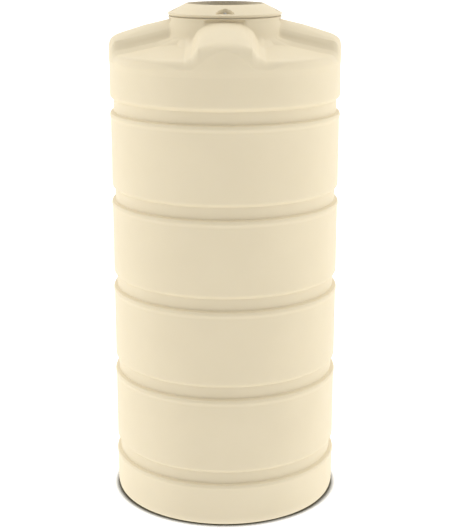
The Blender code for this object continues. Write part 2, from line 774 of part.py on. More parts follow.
def backnut(name, tube_r, y, z):
    """A hexagonal nut on a fitting's tail, inside the tank."""
    nut = outline(name, hexagon(tube_r + BACKNUT_W), BACKNUT_T, "black_plastic")
    hole = plug(name + "_hole", tube_r + GAP, -OVERRUN, OVERRUN)
    for made in (nut, hole):
        made.matrix_world = towards_back(y - BACKNUT_T / 2, z)
    return cut(nut, hole)


def wall_seals(name, tube_r, flange_r, z):
    """The rubber washers on both faces of the pad, and the nut that draws the fitting tight."""
    inner = tube_r + FITTING_CLEARANCE
    flat_ring(name + "_outer_washer", inner, flange_r, GASKET_T, PAD_Y + GAP, z, "black_rubber")
    inside_y = PAD_INNER_Y - GAP - GASKET_T
    washer_r = tube_r + BACKNUT_W
    flat_ring(name + "_inner_washer", inner, washer_r, GASKET_T, inside_y, z, "black_rubber")
    backnut(name + "_backnut", tube_r, inside_y - GAP, z)


def fitting(name, tube_r, bore_r, flange_r, tube_end, z):
    """A flanged tube through the wall: a tail inside, the flange and a tube outside."""
    start = PAD_INNER_Y - TAIL_IN
    profile = [
        (tube_r, tube_end),
        (tube_r, FLANGE_FACE_Y),
        (flange_r - FLANGE_CHAMFER, FLANGE_FACE_Y),
        (flange_r, FLANGE_FACE_Y - FLANGE_CHAMFER),
        (flange_r, FLANGE_Y),
        (tube_r, FLANGE_Y),
        (tube_r, start),
        (bore_r, start),
        (bore_r, tube_end),
    ]
    made = turned(name, profile, "black_plastic", SMALL_STEPS, ring=True)
    made.matrix_world = towards_back(0.0, z)
    return made


# Ball valve

def valve_body():
    """The body screwed over the outlet's spigot, open at its outer end, with a boss for the stem."""
    cavity_r = BALL_R + BALL_CLEARANCE
    profile = [
        (VALVE_R, VALVE_END_Y),
        (VALVE_R, VALVE_Y),
        (OUTLET_TUBE_R + GAP, VALVE_Y),
        (OUTLET_TUBE_R + GAP, VALVE_Y + SPIGOT_L + GAP),
        (OUTLET_BORE_R, VALVE_Y + SPIGOT_L + GAP),
        (OUTLET_BORE_R, SEAT_Y),
        (cavity_r, SEAT_Y),
        (cavity_r, VALVE_END_Y),
    ]
    body = turned("valve_body", profile, "brass", SMALL_STEPS, ring=True)
    body.matrix_world = towards_back(0.0, OUTLET_Z)
    nut = outline("valve_hex", hexagon(VALVE_HEX_R), VALVE_HEX_L - GAP)
    core = plug("valve_hex_core", VALVE_R - JOIN_OVERLAP, -OVERRUN, OVERRUN)
    for made in (nut, core):
        made.matrix_world = towards_back(VALVE_Y + VALVE_HEX_L / 2, OUTLET_Z)
    cut(nut, core)
    boss_top = OUTLET_Z + VALVE_R + VALVE_BOSS_H
    boss = plug("valve_boss", VALVE_BOSS_R, OUTLET_Z + cavity_r + JOIN_OVERLAP, boss_top)
    stem_hole = plug("stem_hole", STEM_R + GAP, OUTLET_Z, boss_top + OVERRUN)
    packing_r = STEM_R + PACKING_W + GAP
    packing_hole = plug("packing_hole", packing_r, boss_top - PACKING_H, boss_top + OVERRUN)
    for made in (boss, stem_hole, packing_hole):
        made.matrix_world = Matrix.Translation((0.0, BALL_Y, 0.0))
    join(body, nut, boss)
    return cut(body, stem_hole, packing_hole)


def valve_seats():
    """Two plastic rings that the ball turns between."""
    land = SEAT_OUTER_R - SEAT_LAND
    radii = (land, (land + SEAT_INNER_R) / 2, SEAT_INNER_R)
    for name, side, back in (
        ("valve_seat_inner", -1, SEAT_Y + GAP),
        ("valve_seat_outer", 1, END_CAP_Y - GAP),
    ):
        face = [(radius, BALL_Y + side * ball_reach(radius)) for radius in radii]
        profile = [(SEAT_OUTER_R, back), (SEAT_OUTER_R, face[0][1]), *face, (SEAT_INNER_R, back)]
        # Seen along the bore, the outer seat has its back above its face, and the inner one below.
        if side < 0:
            profile.reverse()
        seat = turned(name, profile, "white_seat", SMALL_STEPS, ring=True)
        seat.matrix_world = towards_back(0.0, OUTLET_Z)


def valve_end_cap():
    """The insert that closes the body behind the outer seat, with the outlet's end face."""
    face = VALVE_END_Y + GAP + END_CAP_FLANGE_T
    profile = [
        (VALVE_R, face),
        (VALVE_R, VALVE_END_Y + GAP),
        (SEAT_OUTER_R, VALVE_END_Y + GAP),
        (SEAT_OUTER_R, END_CAP_Y),
        (OUTLET_BORE_R, END_CAP_Y),
        (OUTLET_BORE_R, face),
    ]
    cap = turned("valve_end_cap", profile, "brass", SMALL_STEPS, ring=True)
    cap.matrix_world = towards_back(0.0, OUTLET_Z)
    return cap


def valve_ball():
    """The bored ball, closed across the pipe, with a socket for the stem."""
    shape = bmesh.new()
    bmesh.ops.create_uvsphere(shape, u_segments=24, v_segments=14, radius=BALL_R)
    mesh = bpy.data.meshes.new("valve_ball")
    shape.to_mesh(mesh)
    shape.free()
    mesh.shade_smooth()
    ball = add_object("valve_ball", mesh, "stainless")
    ball.location = (0.0, BALL_Y, OUTLET_Z)
    # The cutters are spun a little, so that no corner of theirs lies on an edge of the ball.
    spin = Matrix.Rotation(HALF_STEP / 2, 4, "Z")
    bore = plug("ball_bore", OUTLET_BORE_R, -2 * BALL_R, 2 * BALL_R)
    bore.matrix_world = Matrix.Translation(ball.location) @ Matrix.Rotation(math.pi / 2, 4, "Y") @ spin
    socket = plug("ball_socket", STEM_R + GAP, BALL_R - STEM_SEAT_DEPTH, 2 * BALL_R, 12)
    socket.matrix_world = Matrix.Translation(ball.location) @ spin
    return cut(ball, bore, socket, solver="MANIFOLD")


def valve_handle():
    """The stem, its packing and gland nut, and the lever held on it by a nut."""
    pivot = Matrix.Translation((0.0, BALL_Y, OUTLET_Z))
    boss_top = VALVE_R + VALVE_BOSS_H
    gland_z = boss_top + GAP
    lever_z = gland_z + GLAND_T + GAP
    nut_z = lever_z + LEVER_T + GAP
    stem_top = nut_z + LEVER_NUT_T + STEM_END
    stem_bottom = BALL_R - STEM_SEAT_DEPTH + GAP
    stem_profile = [
        (0.0, stem_top),
        (STEM_R - STEM_CHAMFER, stem_top),
        (STEM_R, stem_top - STEM_CHAMFER),
        (STEM_R, stem_bottom),
        (0.0, stem_bottom),
    ]
    stem = turned("valve_stem", stem_profile, "stainless", 12)
    packing_r = STEM_R + PACKING_W
    packing_profile = [
        (packing_r, boss_top),
        (packing_r, boss_top - PACKING_H + GAP),
        (STEM_R + GAP, boss_top - PACKING_H + GAP),
        (STEM_R + GAP, boss_top),
    ]
    packing = turned("valve_packing", packing_profile, "black_rubber", 12, ring=True)
    for made in (stem, packing):
        made.matrix_world = pivot
    plates = (
        ("valve_gland_nut", hexagon(GLAND_R), gland_z, GLAND_T, "brass"),
        ("valve_lever", lever_points(), lever_z, LEVER_T, "red_lever"),
        ("valve_lever_nut", hexagon(LEVER_NUT_R), nut_z, LEVER_NUT_T, "stainless"),
    )
    for name, points, bottom, thickness, look in plates:
        plate = outline(name, points, thickness, look)
        hole = plug(name + "_hole", STEM_R + GAP, -OVERRUN, OVERRUN, 12)
        for made in (plate, hole):
            made.matrix_world = pivot @ Matrix.Translation((0.0, 0.0, bottom + thickness / 2))
        cut(plate, hole)


def lever_points():
    """A lever along +X: a round hub about the stem, a waist and a broad round end."""
    hub = arc_points(0.0, LEVER_HUB_R, math.radians(60), math.radians(300), 6)
    end = arc_points(LEVER_L - LEVER_W / 2, LEVER_W / 2, -math.pi / 2, math.pi / 2, 6)
    waist = LEVER_WAIST_W / 2
    return [*hub, (LEVER_WAIST_X, -waist), *end, (LEVER_WAIST_X, waist)]


# Overflow screen

def overflow_screen():
    """The cap on the overflow's end, and the mesh it holds against the tube."""
    tube_end = FLANGE_FACE_Y + OVERFLOW_TUBE_L
    screen_y = tube_end + GAP
    screen_r = OVERFLOW_TUBE_R
    cap_r = OVERFLOW_TUBE_R + GAP + SCREEN_CAP_WALL
    lip_y = screen_y + SCREEN_T + GAP
    lip_r = OVERFLOW_TUBE_R - SCREEN_CAP_LIP
    profile = [
        (cap_r, lip_y + SCREEN_CAP_WALL),
        (cap_r, tube_end - SCREEN_CAP_L),
        (OVERFLOW_TUBE_R + GAP, tube_end - SCREEN_CAP_L),
        (OVERFLOW_TUBE_R + GAP, lip_y),
        (lip_r, lip_y),
        (lip_r, lip_y + SCREEN_CAP_WALL),
    ]
    cap = turned("overflow_screen_cap", profile, "black_plastic", SMALL_STEPS, ring=True)
    cap.matrix_world = towards_back(0.0, OVERFLOW_Z)
    disc = [(0.0, SCREEN_T), (screen_r, SCREEN_T), (screen_r, 0.0), (0.0, 0.0)]
    screen = turned("overflow_screen", disc, "stainless", SMALL_STEPS)
    holes = grid_holes("screen_gaps", lip_r, SCREEN_GAP, SCREEN_PITCH, SCREEN_BORDER)
    for made in (screen, holes):
        made.matrix_world = towards_back(screen_y, OVERFLOW_Z)
    cut(screen, holes)


def build():
    tank_shell()
    lid_seal()
    lid_ring()
    lid_screws()
    strainer_basket()
    strainer_mesh()
    spigot_end = VALVE_Y + SPIGOT_L
    fitting("outlet_fitting", OUTLET_TUBE_R, OUTLET_BORE_R, OUTLET_FLANGE_R, spigot_end, OUTLET_Z)
    wall_seals("outlet", OUTLET_TUBE_R, OUTLET_FLANGE_R, OUTLET_Z)
    valve_body()
    valve_seats()
    valve_end_cap()
    valve_ball()
    valve_handle()
    tube_end = FLANGE_FACE_Y + OVERFLOW_TUBE_L
    bore_r = OVERFLOW_TUBE_R - OVERFLOW_TUBE_WALL
    fitting("overflow_fitting", OVERFLOW_TUBE_R, bore_r, OVERFLOW_FLANGE_R, tube_end, OVERFLOW_Z)
    wall_seals("overflow", OVERFLOW_TUBE_R, OVERFLOW_FLANGE_R, OVERFLOW_Z)
    overflow_screen()
    group = smooth_group()
    for made in PARTS.objects:
        made.modifiers.new("smooth", "NODES").node_group = group


build()
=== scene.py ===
"""The looks of the round water tank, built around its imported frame.

Metres, +Z up, the front on -Y, as in the frame. The shell's skin is made of columns that run
from the mouth over the neck, the roof or a rib, and the shoulder to the wall.
"""

import math

import bmesh
import bpy
import numpy as np
from mathutils import Matrix, Vector

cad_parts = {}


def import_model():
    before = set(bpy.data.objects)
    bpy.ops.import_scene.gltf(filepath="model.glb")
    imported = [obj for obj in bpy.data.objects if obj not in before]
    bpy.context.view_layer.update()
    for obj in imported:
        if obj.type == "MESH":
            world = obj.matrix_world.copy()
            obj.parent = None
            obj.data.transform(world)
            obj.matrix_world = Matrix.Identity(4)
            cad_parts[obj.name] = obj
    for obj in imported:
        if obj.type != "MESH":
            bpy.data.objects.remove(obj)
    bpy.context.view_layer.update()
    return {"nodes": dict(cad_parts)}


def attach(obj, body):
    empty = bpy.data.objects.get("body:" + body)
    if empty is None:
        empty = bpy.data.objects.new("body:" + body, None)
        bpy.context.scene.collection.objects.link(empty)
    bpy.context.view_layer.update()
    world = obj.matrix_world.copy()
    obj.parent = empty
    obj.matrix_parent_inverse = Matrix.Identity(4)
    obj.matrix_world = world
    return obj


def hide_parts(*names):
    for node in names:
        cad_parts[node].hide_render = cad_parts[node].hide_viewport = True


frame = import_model()

# Shell
WALL_R = 0.601
SHELL_WALL = 0.006
BASE_EDGE = 0.017
BASE_EDGE_H = 0.045
BASE_EDGE_STEPS = 6
GROOVE_COUNT = 5
GROOVE_PITCH = 0.4689
FIRST_GROOVE_Z = 0.2342
GROOVE_FLOOR_R = 0.585
GROOVE_FLOOR_UP = 0.0580
GROOVE_LEDGE_DOWN = 0.0110
TOP_R = 0.604
BAND_Z = 2.350
BAND_R = 0.6024
ROOF_RIM_R = 0.528
ROOF_RIM_Z = 2.4143
ROOF_RIM_SLOPE = 0.158
ROOF_SLOPE = math.tan(math.radians(13.8))
ROOF_BLEND = 0.002
NECK_R = 0.2945
NECK_TOP = 2.5894253
NECK_ROUND = 0.0045
MOUTH_R = 0.206

# Ribs: the crest falls gently near the neck and more steeply past a bend, whose radius grows with
# the distance from the crest's plane
RIB_COUNT = 4
BEND_R = 0.410
BEND_Z = 2.544
INNER_SLOPE = 0.235
OUTER_SLOPE = 0.310
RIB_HALF_W = 0.157
RIB_H = 0.107
RIB_POWER = 2.2
RIB_SIDE_SLOPE = 8.0
RIB_BEND = ((0.065, 0.080, 0.098, 0.115), (BEND_R, BEND_R + 0.01, 0.450, 0.500))
# The strip at a rib's foot: its height above the roof by the distance from the crest's plane
RIB_FOOT = ((0.130, 0.146, 0.152, 0.158, 0.165, 0.200), (0.065, 0.043, 0.034, 0.026, 0.018, 0.0))
RIB_FOOT_BLEND = 0.003
RIB_ROOF_BLEND = 0.0015

# Lid ring and strainer
LID_BOTTOM = 2.59603
LID_TOP = 2.6540253
LIP_H = 0.011
LIP_W = 0.022
LID_BORE_R = 0.2003
LID_WALL = 0.005
LID_TOP_T = 0.006
POCKET_COUNT = 4
POCKET_CENTRE_R = 0.2855
POCKET_R = 0.0475
POCKET_FLOOR_Z = 2.6110253
POCKET_WALL = 0.004
DRIVER_R = 0.017
SCREW_CENTRE_R = 0.2495
SCREW_R = 0.0016
SCREW_HOLE_R = 0.0019
THREAD_R = 0.00135
THREAD_PITCH = 0.0012
WASHER_R = 0.010
WASHER_T = 0.0015
SEAL_R = 0.284
SEAL_INNER_R = 0.270
SEAL_T = 0.006
BASKET_R = 0.198
BASKET_RIM_TOP = 2.5927253
BASKET_DEPTH = 0.140
BASKET_TAPER = 0.010
BASKET_WALL = 0.003
BASKET_RIM_W = 0.032
SLOT_COUNT = 20

# Fittings
PAD_Y = 0.6075
PAD_INNER_Y = 0.5915
FLANGE_Y = 0.6111
FLANGE_FACE_Y = 0.6201
VALVE_Y = 0.6204
BALL_Y = 0.6680626
VALVE_END_Y = 0.7167253
OUTLET_Z = 0.092
OUTLET_TUBE_R = 0.030
OUTLET_BORE_R = 0.024
OUTLET_FLANGE_R = 0.052
OVERFLOW_Z = 2.2726
OVERFLOW_TUBE_R = 0.045
OVERFLOW_BORE_R = 0.0415
OVERFLOW_FLANGE_R = 0.064
OVERFLOW_TUBE_L = 0.060
VALVE_R = 0.041
STEM_HOLE_R = 0.0073
NUT_T = 0.006
LEVER_T = 0.004
GRIP_COUNT = 36

GAP = 0.0003
FINE = 256
ROUND = 96
SHARP = math.radians(32)


# Meshes

def solid(name, vertices, faces):
    """A closed mesh object whose faces all look outwards."""
    mesh = bpy.data.meshes.new(name)
    mesh.from_pydata([tuple(v) for v in vertices], [], [tuple(f) for f in faces])
    shape = bmesh.new()
    shape.from_mesh(mesh)
    bmesh.ops.recalc_face_normals(shape, faces=shape.faces)
    shape.to_mesh(mesh)
    shape.free()
    made = bpy.data.objects.new(name, mesh)
    bpy.context.scene.collection.objects.link(made)
    return made


def rounded(corners, closed=False, bend=math.radians(14)):
    """A polyline of (radius, height) points from (radius, height, fillet) corners."""
    points = []
    count = len(corners)
    for i, (r, z, fillet) in enumerate(corners):
        here = np.array((r, z))
        if fillet <= 0 or (not closed and i in (0, count - 1)):
            points.append((r, z))
            continue
        back = np.array(corners[i - 1][:2]) - here
        on = np.array(corners[(i + 1) % count][:2]) - here
        back_length, on_length = np.linalg.norm(back), np.linalg.norm(on)
        back, on = back / back_length, on / on_length
        turn = math.pi - math.acos(max(-1.0, min(1.0, float(back @ on))))
        if turn < 0.01:
            points.append((r, z))
            continue
        reach = min(fillet * math.tan(turn / 2), 0.48 * back_length, 0.48 * on_length)
        radius = reach / math.tan(turn / 2)
        middle = (back + on) / np.linalg.norm(back + on)
        centre = here + middle * radius / math.cos(turn / 2)
        first = here + back * reach - centre
        start = math.atan2(first[1], first[0])
        last = here + on * reach - centre
        swing = math.atan2(last[1], last[0]) - start
        swing = (swing + math.pi) % (2 * math.pi) - math.pi
        steps = max(2, round(turn / bend))
        for step in range(steps + 1):
            angle = start + swing * step / steps
            points.append((centre[0] + radius * math.cos(angle), centre[1] + radius * math.sin(angle)))
    return points


def lathe(name, profile, steps=ROUND, closed=True, place=None):
    """A solid turned about Z. A profile that isn't closed starts and ends on the axis."""
    vertices, faces, rings = [], [], []
    turns = [2 * math.pi * i / steps for i in range(steps)]
    for r, z in profile:
        if r < 1e-6:
            rings.append([len(vertices)] * steps)
            vertices.append((0.0, 0.0, z))
            continue
        rings.append(list(range(len(vertices), len(vertices) + steps)))
        vertices += [(r * math.cos(turn), r * math.sin(turn), z) for turn in turns]
    following = rings[1:] + rings[:1] if closed else rings[1:]
    for upper, lower in zip(rings, following):
        for i in range(steps):
            j = (i + 1) % steps
            face = list(dict.fromkeys((upper[i], lower[i], lower[j], upper[j])))
            if len(face) > 2:
                faces.append(face)
    made = solid(name, vertices, faces)
    if place is not None:
        made.data.transform(place)
    return made


def cylinder(name, radius, bottom, top, steps=64, place=None):
    return lathe(name, [(0, top), (radius, top), (radius, bottom), (0, bottom)], steps, False, place)


def prism(name, outline, bottom, top, place=None, bevel=0.0):
    """An outline extruded along Z, with its rims rounded where a bevel is given."""
    count = len(outline)
    vertices = [(x, y, z) for z in (bottom, top) for x, y in outline]
    faces = [list(range(count)), list(range(count, 2 * count))]
    faces += [[i, (i + 1) % count, count + (i + 1) % count, count + i] for i in range(count)]
    made = solid(name, vertices, faces)
    if bevel:
        shape = bmesh.new()
        shape.from_mesh(made.data)
        rims = [e for e in shape.edges if abs(e.verts[0].co.z - e.verts[1].co.z) < 1e-6]
        bmesh.ops.bevel(shape, geom=rims, offset=bevel, segments=3, profile=0.5, affect="EDGES")
        shape.to_mesh(made.data)
        shape.free()
    if place is not None:
        made.data.transform(place)
    return made


def boolean(target, tools, operation):
    """Joins the tools to the target or cuts it with them, and removes them."""
    for tool in tools:
        modifier = target.modifiers.new("boolean", "BOOLEAN")
        modifier.operation = operation
        modifier.solver = "MANIFOLD"
        modifier.object = tool
        bpy.context.view_layer.update()
        seen = target.evaluated_get(bpy.context.evaluated_depsgraph_get())
        mesh = bpy.data.meshes.new_from_object(seen)
        target.modifiers.clear()
        target.data = mesh
        bpy.data.objects.remove(tool, do_unlink=True)


def arc(centre, radius, start, end, steps):
    turns = [start + (end - start) * step / steps for step in range(steps + 1)]
    return [(centre[0] + radius * math.cos(t), centre[1] + radius * math.sin(t)) for t in turns]


def around(angle, radius=0.0, height=0.0):
    return Matrix.Rotation(angle, 4, "Z") @ Matrix.Translation((radius, 0.0, height))


def towards_back(y, z):
    """Carries a piece made along its own +Z to a fitting's axis, along +Y."""
    return Matrix.Translation((0.0, y, z)) @ Matrix.Rotation(-math.pi / 2, 4, "X")


def dress(piece, look, body="tank", nodes=None, sharp=SHARP):
    """Gives a piece its material, its body and the node that it stands for."""
    piece.data.materials.clear()
    piece.data.materials.append(LOOKS[look])
    piece.data.shade_smooth()
    piece.data.set_sharp_from_angle(angle=sharp)
    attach(piece, body)
    if nodes:
        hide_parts(*nodes)
    return piece


# Materials

class Nodes:
    """A material's nodes, linked by name."""

    def __init__(self, name):
        self.material = bpy.data.materials.new(name)
        self.material.use_nodes = True
        self.tree = self.material.node_tree
        self.shader = self.tree.nodes["Principled BSDF"]
        self.place = self.tree.nodes.new("ShaderNodeTexCoord").outputs["Object"]

    def add(self, kind, **values):
        node = self.tree.nodes.new(kind)
        for name, value in values.items():
            setattr(node, name, value)
        return node

    def link(self, start, end):
        self.tree.links.new(start, end)

    def noise(self, scale, detail=2.0, rough=0.5, stretch=None):
        place = self.place
        if stretch:
            mapping = self.add("ShaderNodeMapping")
            mapping.inputs["Scale"].default_value = stretch
            self.link(place, mapping.inputs["Vector"])
            place = mapping.outputs["Vector"]
        node = self.add("ShaderNodeTexNoise")
        node.inputs["Scale"].default_value = scale
        node.inputs["Detail"].default_value = detail
        node.inputs["Roughness"].default_value = rough
        self.link(place, node.inputs["Vector"])
        return node.outputs["Fac"]

    def ramp(self, value, dark, light, low=0.3, high=0.7):
        node = self.add("ShaderNodeValToRGB")
        first, last = node.color_ramp.elements
        first.position, first.color = low, (*dark, 1.0)
        last.position, last.color = high, (*light, 1.0)
        self.link(value, node.inputs["Fac"])
        return node.outputs["Color"]

    def spread(self, value, low, high):
        node = self.add("ShaderNodeMapRange")
        node.inputs["From Min"].default_value = 0.25
        node.inputs["From Max"].default_value = 0.75
        node.inputs["To Min"].default_value = low
        node.inputs["To Max"].default_value = high
        self.link(value, node.inputs["Value"])
        return node.outputs["Result"]

    def bump(self, value, distance, strength, under=None):
        node = self.add("ShaderNodeBump")
        node.inputs["Distance"].default_value = distance
        node.inputs["Strength"].default_value = strength
        self.link(value, node.inputs["Height"])
        if under is not None:
            self.link(under, node.inputs["Normal"])
        return node.outputs["Normal"]

    def set(self, **values):
        for name, value in values.items():
            socket = self.shader.inputs[name.replace("_", " ")]
            if isinstance(value, bpy.types.NodeSocket):
                self.link(value, socket)
            else:
                socket.default_value = value
        return self.material


def cream_plastic():
    """Rotomoulded polyethylene: satin, faintly cloudy, with a fine pebble from the mould."""
    n = Nodes("cream_polyethylene")
    cloud = n.noise(3.2, 3.0, 0.55)
    colour = n.ramp(cloud, (0.700, 0.610, 0.435), (0.722, 0.631, 0.452))
    pebble = n.bump(n.noise(420.0, 2.0), 0.0004, 0.10)
    skin = n.bump(n.noise(26.0, 2.0), 0.0012, 0.05, pebble)
    gloss = n.spread(n.noise(14.0, 3.0), 0.55, 0.65)
    return n.set(
        Base_Color=colour, Roughness=gloss, Normal=skin, Specular_IOR_Level=0.25,
        Subsurface_Weight=0.06, Subsurface_Radius=(0.010, 0.008, 0.004), Subsurface_Scale=0.5,
    )


def black_plastic():
    """Filled polypropylene with a fine moulded grain."""
    n = Nodes("black_polypropylene")
    colour = n.ramp(n.noise(40.0, 4.0), (0.018, 0.018, 0.020), (0.030, 0.030, 0.032))
    grain = n.bump(n.noise(1600.0, 2.0), 0.0002, 0.35)
    gloss = n.spread(n.noise(90.0, 3.0), 0.38, 0.55)
    return n.set(Base_Color=colour, Roughness=gloss, Normal=grain, IOR=1.49)


def black_rubber():
    n = Nodes("black_rubber")
    colour = n.ramp(n.noise(70.0, 5.0), (0.012, 0.012, 0.012), (0.026, 0.025, 0.024))
    grain = n.bump(n.noise(2200.0, 3.0), 0.0002, 0.5)
    gloss = n.spread(n.noise(160.0, 3.0), 0.7, 0.9)
    return n.set(Base_Color=colour, Roughness=gloss, Normal=grain, IOR=1.52)


def pale_silicone():
    """Soft silicone rubber, cream and matt."""
    n = Nodes("pale_silicone")
    colour = n.ramp(n.noise(60.0, 4.0), (0.63, 0.56, 0.41), (0.68, 0.61, 0.46))
    grain = n.bump(n.noise(1800.0, 2.0), 0.0002, 0.3)
    gloss = n.spread(n.noise(120.0, 3.0), 0.55, 0.7)
    return n.set(Base_Color=colour, Roughness=gloss, Normal=grain, IOR=1.43)


def stainless():
    """Turned stainless steel: fine marks across its length."""
    n = Nodes("stainless_steel")
    colour = n.ramp(n.noise(60.0, 3.0), (0.50, 0.49, 0.47), (0.60, 0.59, 0.57))
    marks = n.noise(220.0, 3.0, 0.6, stretch=(1.0, 1.0, 14.0))
    grain = n.bump(marks, 0.0001, 0.25)
    gloss = n.spread(marks, 0.24, 0.40)
    return n.set(Base_Color=colour, Roughness=gloss, Normal=grain, Metallic=1.0)


def brass():
    """Cast and turned brass, dulled a little in patches."""
    n = Nodes("brass")
    dull = n.noise(55.0, 5.0, 0.6)
    colour = n.ramp(dull, (0.46, 0.33, 0.14), (0.66, 0.50, 0.24))
    grain = n.bump(n.noise(900.0, 3.0), 0.0002, 0.3)
    gloss = n.spread(dull, 0.45, 0.26)
    return n.set(Base_Color=colour, Roughness=gloss, Normal=grain, Metallic=1.0)


def white_seat():
    n = Nodes("white_seat")
    colour = n.ramp(n.noise(80.0, 3.0), (0.76, 0.76, 0.73), (0.83, 0.83, 0.81))
    grain = n.bump(n.noise(900.0, 2.0), 0.0001, 0.2)
    gloss = n.spread(n.noise(120.0, 3.0), 0.3, 0.42)
    return n.set(Base_Color=colour, Roughness=gloss, Normal=grain)


def red_lever():
    """Steel dipped in red vinyl, slightly uneven."""
    n = Nodes("red_vinyl")
    colour = n.ramp(n.noise(35.0, 4.0), (0.42, 0.022, 0.016), (0.56, 0.034, 0.024))
    coat = n.bump(n.noise(300.0, 3.0), 0.0003, 0.25)
    gloss = n.spread(n.noise(70.0, 3.0), 0.32, 0.48)
    return n.set(Base_Color=colour, Roughness=gloss, Normal=coat, IOR=1.5)


LOOKS = {
    "cream_plastic": cream_plastic(),
    "black_plastic": black_plastic(),
    "black_rubber": black_rubber(),
    "pale_silicone": pale_silicone(),
    "stainless": stainless(),
    "brass": brass(),
    "white_seat": white_seat(),
    "red_lever": red_lever(),
}


# Shell

def smooth_max(a, b, width):
    share = np.maximum(width - np.abs(a - b), 0.0) / width
    return np.maximum(a, b) + share * share * width / 4


def roof_z(r):
    inner = ROOF_RIM_Z + (ROOF_RIM_R - r) * ROOF_SLOPE
    outer = ROOF_RIM_Z + (ROOF_RIM_R - r) * ROOF_RIM_SLOPE
    return smooth_max(inner, outer, ROOF_BLEND)


def top_z(x, y, r):
    """The height of the roof with its rib, x along the rib and y across it."""
    side = np.abs(y) / RIB_HALF_W
    crown = np.maximum(1.0 - side**RIB_POWER, 0.0) ** (1 / RIB_POWER)
    bend = np.interp(np.abs(y), *RIB_BEND)
    crest = BEND_Z + (BEND_R - np.minimum(x, bend)) * INNER_SLOPE
    crest = crest - np.maximum(x - bend, 0.0) * OUTER_SLOPE
    outside = np.maximum(np.abs(y) - RIB_HALF_W, 0.0)
    rib = crest - RIB_H + RIB_H * crown - RIB_SIDE_SLOPE * outside
    roof = roof_z(r)
    foot = roof + np.interp(np.abs(y), *RIB_FOOT)
    return smooth_max(smooth_max(rib, foot, RIB_FOOT_BLEND), roof, RIB_ROOF_BLEND)


# The neck's outside: its radius by its height
NECK_HEIGHTS = (2.4600, 2.4880, 2.4920, 2.5000, 2.5220, 2.5450, 2.5650, 2.5750, 2.5819)
NECK_RADII = (0.3270, 0.3205, 0.3190, 0.3170, 0.3110, 0.3050, 0.2985, 0.2955, 0.2945)


def neck_r(z):
    """The neck is narrowest at its rim and flares towards its foot."""
    return np.interp(z, NECK_HEIGHTS, NECK_RADII)


# Columns from a rib's crest outwards: by their distance from its plane, then by their share of
# the turn from the rib's foot to the diagonal
LATERALS = [
    *np.linspace(0.0, 0.126, 17),
    *np.linspace(0.126, 0.170, 19)[1:],
    *np.linspace(0.170, 0.203, 8)[1:],
]
DIAGONALS = list(np.linspace(0.0, 1.0, 11)[1:])
HALF_COLUMNS = len(LATERALS) + len(DIAGONALS)


def column_turn(column, r):
    """How far a column is turned from the rib's crest at a radius: it keeps its distance from
    the crest's plane, and past the rib's foot it opens towards the diagonal."""
    if column < len(LATERALS):
        return np.arcsin(LATERALS[column] / r)
    foot = np.arcsin(LATERALS[-1] / r)
    return foot + (math.pi / 4 - foot) * DIAGONALS[column - len(LATERALS)]


def column_z(column, r):
    turn = column_turn(column, r)
    return top_z(r * np.cos(turn), r * np.sin(turn), r)


ROUND_ROWS = 5
NECK_ROWS = 10
STRIP_ROWS = 8
ROOF_ROWS = 22
END_ROWS = 14
FACE_ROWS = 9

# What changes along the wall, by a column's distance from the crest's plane at the wall: the
# crease under the rounded edge, where that edge begins, how far it stands proud at the crease,
# how fast it turns, and the strip round the neck's foot: its height there and its outer radius.
CREASE_Z = (
    (0.0, 0.020, 0.064, 0.095, 0.112, 0.138, 0.150, 0.165, 0.182, 0.226, 0.250, 0.300, 0.360, 0.427),
    (2.4630, 2.4610, 2.4380, 2.4130, 2.3980, 2.3760, 2.3690, 2.3655, 2.3640, 2.3650, 2.3740, 2.3850,
     2.3900, 2.3920),
)
EDGE_START = (
    (0.0, 0.05, 0.085, 0.12, 0.182, 0.25, 0.427),
    (0.520, 0.523, 0.543, 0.557, 0.561, 0.569, 0.584),
)
EDGE_PROUD = ((0.0, 0.10, 0.165, 0.226, 0.260), (0.0003, 0.0006, 0.0015, 0.0012, 0.0))
EDGE_POWER = ((0.0, 0.15, 0.25, 0.427), (3.0, 2.6, 2.4, 2.3))
EDGE_TURN = ((0.0, 0.226, 0.300, 0.427), (75.0, 75.0, 80.0, 83.0))
STRIP_UP = ((0.0, 0.150, 0.160, 0.168, 0.188, 0.427), (0.0, 0.0, 0.002, 0.008, 0.0215, 0.0240))
STRIP_R = ((0.0, 0.188, 0.25, 0.33, 0.427), (0.393, 0.388, 0.381, 0.361, 0.345))
WALL_TOP = ((2.340, 2.352, 2.364, 2.380, 2.400), (0.6016, 0.6026, 0.6040, 0.6046, 0.6040))
FACET_Z = 2.356
RIB_FACET_LEAN = 0.045
SIDE_FACET_LEAN = 0.137
SIDE_FACET_R = 0.650
CREASE_DROP = 0.003
FACE_POWER = 1.3
# A shallow hollow in the neck over each rib's crest: its depth by the distance from the crest's plane
HOLLOW = ((0.098, 0.104), (0.010, 0.0))
STRIP_BELOW_RIM = 0.004
MEET_START_R = 0.300
MEET_ROUNDS = 40
RIM_FLAT = NECK_R - NECK_ROUND


def face_r(turn, z):
    """The wall's radius above the band, with its flat facets: one leans back on the end of each
    rib, and a slightly curved one lies halfway between two ribs."""
    r = float(np.interp(z, *WALL_TOP))
    up = max(z - FACET_Z, 0.0)
    if up > 0:
        r = min(r, (TOP_R - up * RIB_FACET_LEAN) / math.cos(turn))
        side = math.pi / 4 - turn
        bulge = (TOP_R * math.sin(side)) ** 2 / (2 * SIDE_FACET_R)
        r = min(r, (TOP_R - up * SIDE_FACET_LEAN - bulge) / math.cos(side))
    return r


